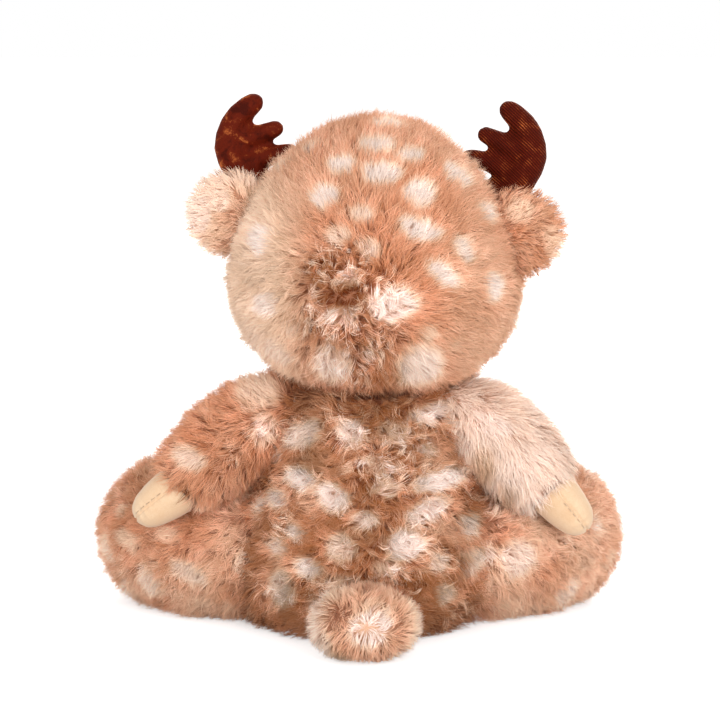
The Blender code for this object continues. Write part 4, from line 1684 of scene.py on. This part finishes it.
@dataclass
class Face:
    """Muzzle, nose, mouth and eyes: a plain face of a kind made for any such toy."""

    nose: Point = (-0.0168, -0.0740, 0.1832)
    mouth: Sequence[Sequence[Point]] = (
        ((-16.6, -100, 176.5), (-16.3, -100, 173.5), (-16.1, -100, 170.5)),
        ((-16.1, -100, 170.5), (-18.5, -100, 168.2), (-22.0, -100, 167.8), (-25.0, -100, 169.6)),
        ((-16.1, -100, 170.5), (-13.6, -100, 168.0), (-10.2, -100, 167.4), (-7.4, -100, 169.0)),
    )
    muzzle_pile: Pile = Pile(length=0.0042, per_square=2.6e6, width=0.00024, root_lean=35.0,
                             tip_lean=72.0, wisp=0.002, gather_share=0.25, stray_share=0.02)

    def comb(self, points: Array, lines: Array) -> Array:
        """The lay of the muzzle's pile: back from the nose."""
        return points - np.array(self.nose)

    def cream(self, points: Array) -> Array:
        """The tone of the muzzle."""
        return 0.86 + 0.06 * drift(points, 0.01, 91)

    def reach(self, points: Array) -> Array:
        """How long the pile is, as a share: clipped along the mouth."""
        places = np.array([point for run in self.mouth for point in run]) * MM
        away = np.linalg.norm(points[:, None, ::2] - places[None, :, ::2], axis=2).min(axis=1)
        return 0.35 + 0.65 * eased(0.001, 0.005, away)

    def sew_mouth(self, skin: Skin, thread: bpy.types.Material) -> None:
        """Lays the mouth's thread on the muzzle.

        Args:
            skin: the muzzle.
            thread: its finish.
        """
        tree = tree_of(skin.item)
        runs = []
        for run in self.mouth:
            laid = []
            for point in rounded(np.array(run) * MM):
                found = tree.ray_cast(Vector(point), Vector((0.0, 1.0, 0.0)))
                laid.append(np.array(found[0]) + np.array((0.0, -0.0012, 0.0)))
            runs.append(np.array(laid))
        Thread(0.0005, 8).lay("mouth_thread", runs, skin, thread)

    def build(self, cloths: Cloths) -> None:
        """Builds and dresses the face.

        Args:
            cloths: the shared materials.
        """
        thread = ThreadFinish((0.060, 0.022, 0.014), (0.150, 0.060, 0.036)).material("face_thread")
        muzzle = Skin("muzzle", "head", "lining", voxel=0.003, swell=0.0008,
                      inset=0.0006).build("muzzle_skin")
        dye = Dye.on(muzzle.item, 91, self.cream, level=0.60)
        Coat(muzzle, self.muzzle_pile, self.comb, dye, 151, self.reach).grow(
            "muzzle_fur", cloths.pile)
        self.sew_mouth(muzzle, thread)
        muzzle.dress(cloths.backing)
        nose = Skin("nose", "head", "nose", voxel=0.0012, swell=0.0002, inset=0.0001, smoothing=5,
                    fill=Stuffing.TIGHT).build("nose_stitch")
        nose.dress(thread)
        gloss = PlasticFinish((0.006, 0.004, 0.003), (0.016, 0.008, 0.005), 0.06, 0.10)
        plain = PlasticFinish((0.72, 0.72, 0.69), (0.80, 0.80, 0.77), 0.45)
        for side in Side:
            self.finish_solid(f"eye_{side.word}", gloss.material(f"eye_gloss_{side.word}"))
            self.finish_solid(f"eye_washer_{side.word}", plain.material(f"washer_{side.word}"))

    def finish_solid(self, node: str, material: bpy.types.Material) -> None:
        """Gives a rigid solid its finish.

        Args:
            node: the solid.
            material: the finish.
        """
        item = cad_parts[node]
        item.data.materials.clear()
        item.data.materials.append(material)
        logger.info("%s: finished", node)


@dataclass
class Studio:
    """A pale floor, soft lamps and the camera."""

    target: Point = (0.0, 0.0, 0.137)
    elevation: float = 7.0
    distance: float = 1.6
    lens: float = 153.85
    strength: float = 1.08

    def build(self) -> None:
        """Sets up the floor, the lamps, the world and the camera."""
        bpy.context.scene.view_settings.view_transform = "Standard"
        self.build_floor()
        self.build_world()
        self.lamp("key", (-0.9, 2.0, 0.75), 1.2, 25.0 * self.strength)
        self.lamp("fill", (1.2, 1.9, 0.6), 1.2, 15.0 * self.strength)
        self.lamp("front", (-0.6, -1.9, 1.2), 1.6, 34.0 * self.strength)
        camera = bpy.data.cameras.new("camera")
        camera.lens = self.lens
        camera.sensor_width = 36.0
        camera.clip_end = 50.0
        item = placed("camera", camera)
        rise = math.radians(self.elevation)
        back = Vector((0.0, math.cos(rise), math.sin(rise)))
        item.location = Vector(self.target) + back * self.distance
        item.rotation_euler = back.to_track_quat("Z", "Y").to_euler()
        bpy.context.scene.camera = item

    def build_floor(self) -> None:
        """A wide plain floor that shows white and keeps the toy's shadow."""
        mesh = bpy.data.meshes.new("floor")
        reach = 12.0
        mesh.from_pydata([(-reach, -reach, 0), (reach, -reach, 0), (reach, reach, 0),
                          (-reach, reach, 0)], [], [(0, 1, 2, 3)])
        floor = placed("floor", mesh)
        shader = Shader("floor", 0.9)
        shader.set("Base Color", (0.82, 0.82, 0.82))
        shader.set("Specular IOR Level", 0.0)
        seen = self.white_rays(shader)
        shader.set("Emission Color", shader.mix(seen, (0.0, 0.0, 0.0), (1.0, 1.0, 1.0)))
        shader.set("Emission Strength", 0.62)
        mesh.materials.append(shader.material)

    def white_rays(self, shader: Shader) -> Signal:
        """One for each ray that shows the white background: seen, mirrored or through glass."""
        rays = shader.node("ShaderNodeLightPath")
        total = shader.signal(rays, "Is Camera Ray")
        for kind in ("Is Glossy Ray", "Is Transmission Ray"):
            total = total + shader.signal(rays, kind)
        return total.maths("MINIMUM", total, 1.0)

    def build_world(self) -> None:
        """Even light from all round, behind which the background shows white."""
        world = bpy.data.worlds.new("studio")
        world.use_nodes = True
        shader = Shader.around(world.node_tree)
        light = world.node_tree.nodes["Background"]
        light.inputs["Color"].default_value = (1.0, 1.0, 1.0, 1.0)
        light.inputs["Strength"].default_value = 0.60 * self.strength
        white = shader.node("ShaderNodeBackground", {}, {"Color": (1.0, 1.0, 1.0), "Strength": 1.0})
        mixed = shader.node("ShaderNodeMixShader", {}, {
            0: self.white_rays(shader), 1: light.outputs[0], 2: white.outputs[0],
        })
        shader.feed(world.node_tree.nodes["World Output"].inputs["Surface"], mixed.outputs[0])
        bpy.context.scene.world = world

    def lamp(self, name: str, place: Point, size: float, power: float) -> None:
        """Adds a soft square lamp that faces the toy.

        Args:
            name: the lamp's name.
            place: where it hangs.
            size: its side.
            power: its power, in watts.
        """
        light = bpy.data.lights.new(name, "AREA")
        light.size = size
        light.energy = power
        item = placed(name, light)
        item.location = place
        aim = Vector(place) - Vector(self.target)
        item.rotation_euler = aim.to_track_quat("Z", "Y").to_euler()


HEAD_SPOTS: Tuple[Row, ...] = (
    (-14, 258, 19, 9), (-8, 250, 18, 8), (-25, 245, 15, 7), (26, 253, 13, 7, 0, 0.85),
    (9, 240, 15, 10), (-11, 237, 20, 10), (17, 225, 15, 12), (-29, 227, 16, 14),
    (-48, 235, 18, 9, -35), (-62, 217, 15, 9, -45, 0.95), (-29, 210, 22, 10, -20),
    (-51, 200, 16, 8, -60, 0.9), (-1, 217, 12, 8, 0, 0.75), (48, 203, 18, 18),
    (10, 207, 13, 10, 0, 0.6), (-5, 200, 10, 10, 0, 0.75), (36, 238, 14, 8, 0, 0.8),
    (46, 172, 18, 14, 0, 0.9), (33, 160, 10, 10, 0, 0.7), (10, 168, 17, 9, 0, 0.60),
    (14, 143, 18, 24, 0, 0.75), (-3, 150, 7, 10, 0, 0.6), (5, 187, 9, 10, 0, 0.65),
    (40, 148, 22, 18, 0, 0.7),
    (57, 180, 5, 9, 0, 0.6), (-16, 174, 24, 17), (-41, 188, 21, 9, -40), (-66, 180, 11, 15),
    (-62, 161, 7, 7, 0, 0.55), (-33, 159, 10, 8, 0, 0.6), (-30, 142, 24, 26, 0, 0.85),
    (-46, 154, 7, 10, 0, 0.45), (-58, 141, 10, 11, 0, 0.8),
)
HEAD_DARK: Tuple[Row, ...] = (
    (17, 189, 17, 15), (7, 177, 20, 14), (21, 167, 15, 13), (-11, 141, 28, 14, 0, 0.6),
    (0, 196, 20, 10, 0, 0.7), (4, 156, 30, 10, 0, 0.7),
)
HEAD_MESS: Tuple[Row, ...] = ((5, 172, 54, 84, 0, 0.85),)

BACK_SPOTS: Tuple[Row, ...] = (
    (28, 104, 22, 13, 25, 0.8), (39, 92, 11, 10, 0, 0.9), (4, 106, 14, 14, 0, 0.85),
    (-17, 105, 17, 14, 0, 0.4), (-35, 114, 22, 10, 10, 0.9), (-33, 96, 11, 8, 0, 0.6),
    (29, 82, 18, 11, -15), (13, 75, 19, 13, -30), (-9, 90, 19, 10, -20, 0.6),
    (-40, 81, 28, 11, 5), (-12, 79, 13, 9, 0, 0.6), (40, 71, 14, 9, 0, 0.95),
    (48, 64, 10, 13, 20, 0.95), (-33, 67, 23, 11, 20, 0.95), (-52, 56, 18, 12, 25, 0.85),
    (-3, 64, 13, 10, 0, 0.8), (31, 57, 12, 8, -20, 0.9), (39, 48, 12, 10, 0, 0.95),
    (9, 51, 15, 14, 0, 0.7), (-22, 52, 20, 16), (25, 40, 14, 10, -15, 0.95),
    (-13, 42, 15, 9, 0, 0.6), (39, 28, 13, 22, 0, 0.7), (-41, 25, 13, 11, 0, 0.7),
    (10, 34, 15, 8, 0, 0.55), (-38, 42, 13, 9, 0, 0.7), (20, 22, 12, 9, 0, 0.6),
    (-54, 39, 19, 14, 25, 0.85),
)
BACK_DARK: Tuple[Row, ...] = (
    (-9, 112, 20, 14, 0, 0.6), (-10, 83, 14, 32, 0, 0.9), (-3, 30, 26, 14),
    (-6, 60, 12, 18, 0, 0.5),
)
BACK_MESS: Tuple[Row, ...] = ((-12, 94, 46, 46, 0, 0.7), (-8, 33, 46, 28, 0, 0.8))

LEFT_ARM_SPOTS: Tuple[Row, ...] = (
    (52, 123, 23, 18, 0, 0.6), (49, 106, 14, 17, 0, 0.65), (87, 91, 18, 12, -15, 0.7),
    (78, 113, 7, 6, 0, 0.45), (91, 98, 7, 5, 0, 0.4), (83, 66, 15, 11, 0, 0.5),
)
LEFT_ARM_DARK: Tuple[Row, ...] = ((88, 74, 8, 8),)
RIGHT_ARM_SPOTS: Tuple[Row, ...] = (
    (-67, 108, 28, 15, -25, 0.9), (-91, 91, 15, 13, 0, 0.85), (-86, 70, 20, 17, 0, 0.75),
)
# Darker caramel on the right arm's inner side; the same marks are painted shade in its crease
# against the body.
RIGHT_ARM_CARAMEL_AND_CREASE_SHADE: Tuple[Row, ...] = ((-72, 62, 16, 22, 0, 0.6), (-62, 84, 12, 26, 0, 0.5))
LEFT_LEG_SPOTS: Tuple[Row, ...] = (
    (132, 33, 14, 18, 0, 0.65), (120, 40, 18, 10, -20, 0.5), (109, 20, 14, 20, 30, 0.7),
    (88, 29, 22, 12, -15, 0.7), (79, 15, 13, 12, 0, 0.5), (123, 53, 11, 9, 0, 0.5),
    (57, 36, 15, 17, 0, 0.6), (98, 47, 14, 9, 0, 0.4), (66, 12, 12, 9, 0, 0.45),
)
RIGHT_LEG_SPOTS: Tuple[Row, ...] = (
    (-59, 38, 24, 16, 25, 0.85), (-67, 61, 12, 8, 0, 0.7), (-81, 37, 21, 20, 0, 0.8),
    (-91, 8, 14, 10, 0, 0.7), (-107, 14, 14, 20, -35, 0.75), (-47, 14, 13, 10, 0, 0.5),
    (-130, 27, 13, 14, 0, 0.5), (-104, 44, 12, 9, 0, 0.5), (-72, 14, 13, 9, 0, 0.55),
)
TAIL_DARK: Tuple[Row, ...] = ((9, 9, 12, 8, 0, 0.8),)
LEFT_EAR_SPOTS: Tuple[Row, ...] = ((83, 214, 18, 26, 0, 0.8), (72, 222, 16, 14, 0, 0.7))
RIGHT_EAR_SPOTS: Tuple[Row, ...] = ((-81, 217, 15, 13, 0, 0.5), (-103, 197, 12, 26, 15, 0.45))


def pieces(cloths: Cloths) -> List[Callable[[], None]]:
    """The sub-assemblies' builders, from the largest to the smallest.

    Args:
        cloths: the shared materials.

    Returns:
        The builders, in order.
    """
    parts = [
        Torso(),
        Head(),
        Arm(Side.LEFT, (0.0705, 0.0341, 0.0923), (0.095, 0.019, 0.0715), (0.1165, 0.021, 0.056),
            LEFT_ARM_SPOTS, LEFT_ARM_DARK, 0.06, 0.54, 0.42),
        Arm(Side.RIGHT, (-0.0667, 0.0231, 0.1192), (-0.100, 0.019, 0.070), (-0.118, 0.021, 0.050),
            RIGHT_ARM_SPOTS, RIGHT_ARM_CARAMEL_AND_CREASE_SHADE, 0.76, 0.63, 0.0),
        Leg(Side.LEFT, LEFT_LEG_SPOTS, (0.0600, 0.030, 0.0660), (0.106, -0.078, 0.0305),
            (0.108, -0.114, 0.0215)),
        Leg(Side.RIGHT, RIGHT_LEG_SPOTS, (-0.0620, 0.030, 0.0620), (-0.106, -0.078, 0.0290),
            (-0.108, -0.114, 0.0215)),
        Tail(),
        Ear(Side.LEFT, (0.0603, 0.0090, 0.2115), LEFT_EAR_SPOTS, 0.62, 0.60),
        Ear(Side.RIGHT, (-0.0747, 0.0243, 0.2040), RIGHT_EAR_SPOTS, 0.16, 0.50),
        Antler(Side.LEFT, Nap.CRUSHED),
        Antler(Side.RIGHT, Nap.ROWS),
        Face(),
    ]
    return [lambda part=part: part.build(cloths) for part in parts]


def main() -> None:
    """Builds the whole scene."""
    logging.basicConfig(level=logging.INFO, format="%(name)s: %(message)s")
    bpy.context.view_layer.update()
    Studio().build()
    cloths = Cloths(
        PileFinish().material("dyed_pile"),
        BackingFinish().material("knit_backing"),
        SuedeFinish().material("ivory_suede"),
        ThreadFinish((0.50, 0.32, 0.18), (0.66, 0.45, 0.27)).material("hoof_thread"),
        WovenFinish((0.55, 0.33, 0.19), (0.30, 0.16, 0.08)).material("base_weave"),
    )
    for build in pieces(cloths):
        build()
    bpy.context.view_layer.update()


if __name__ == "__main__":
    main()
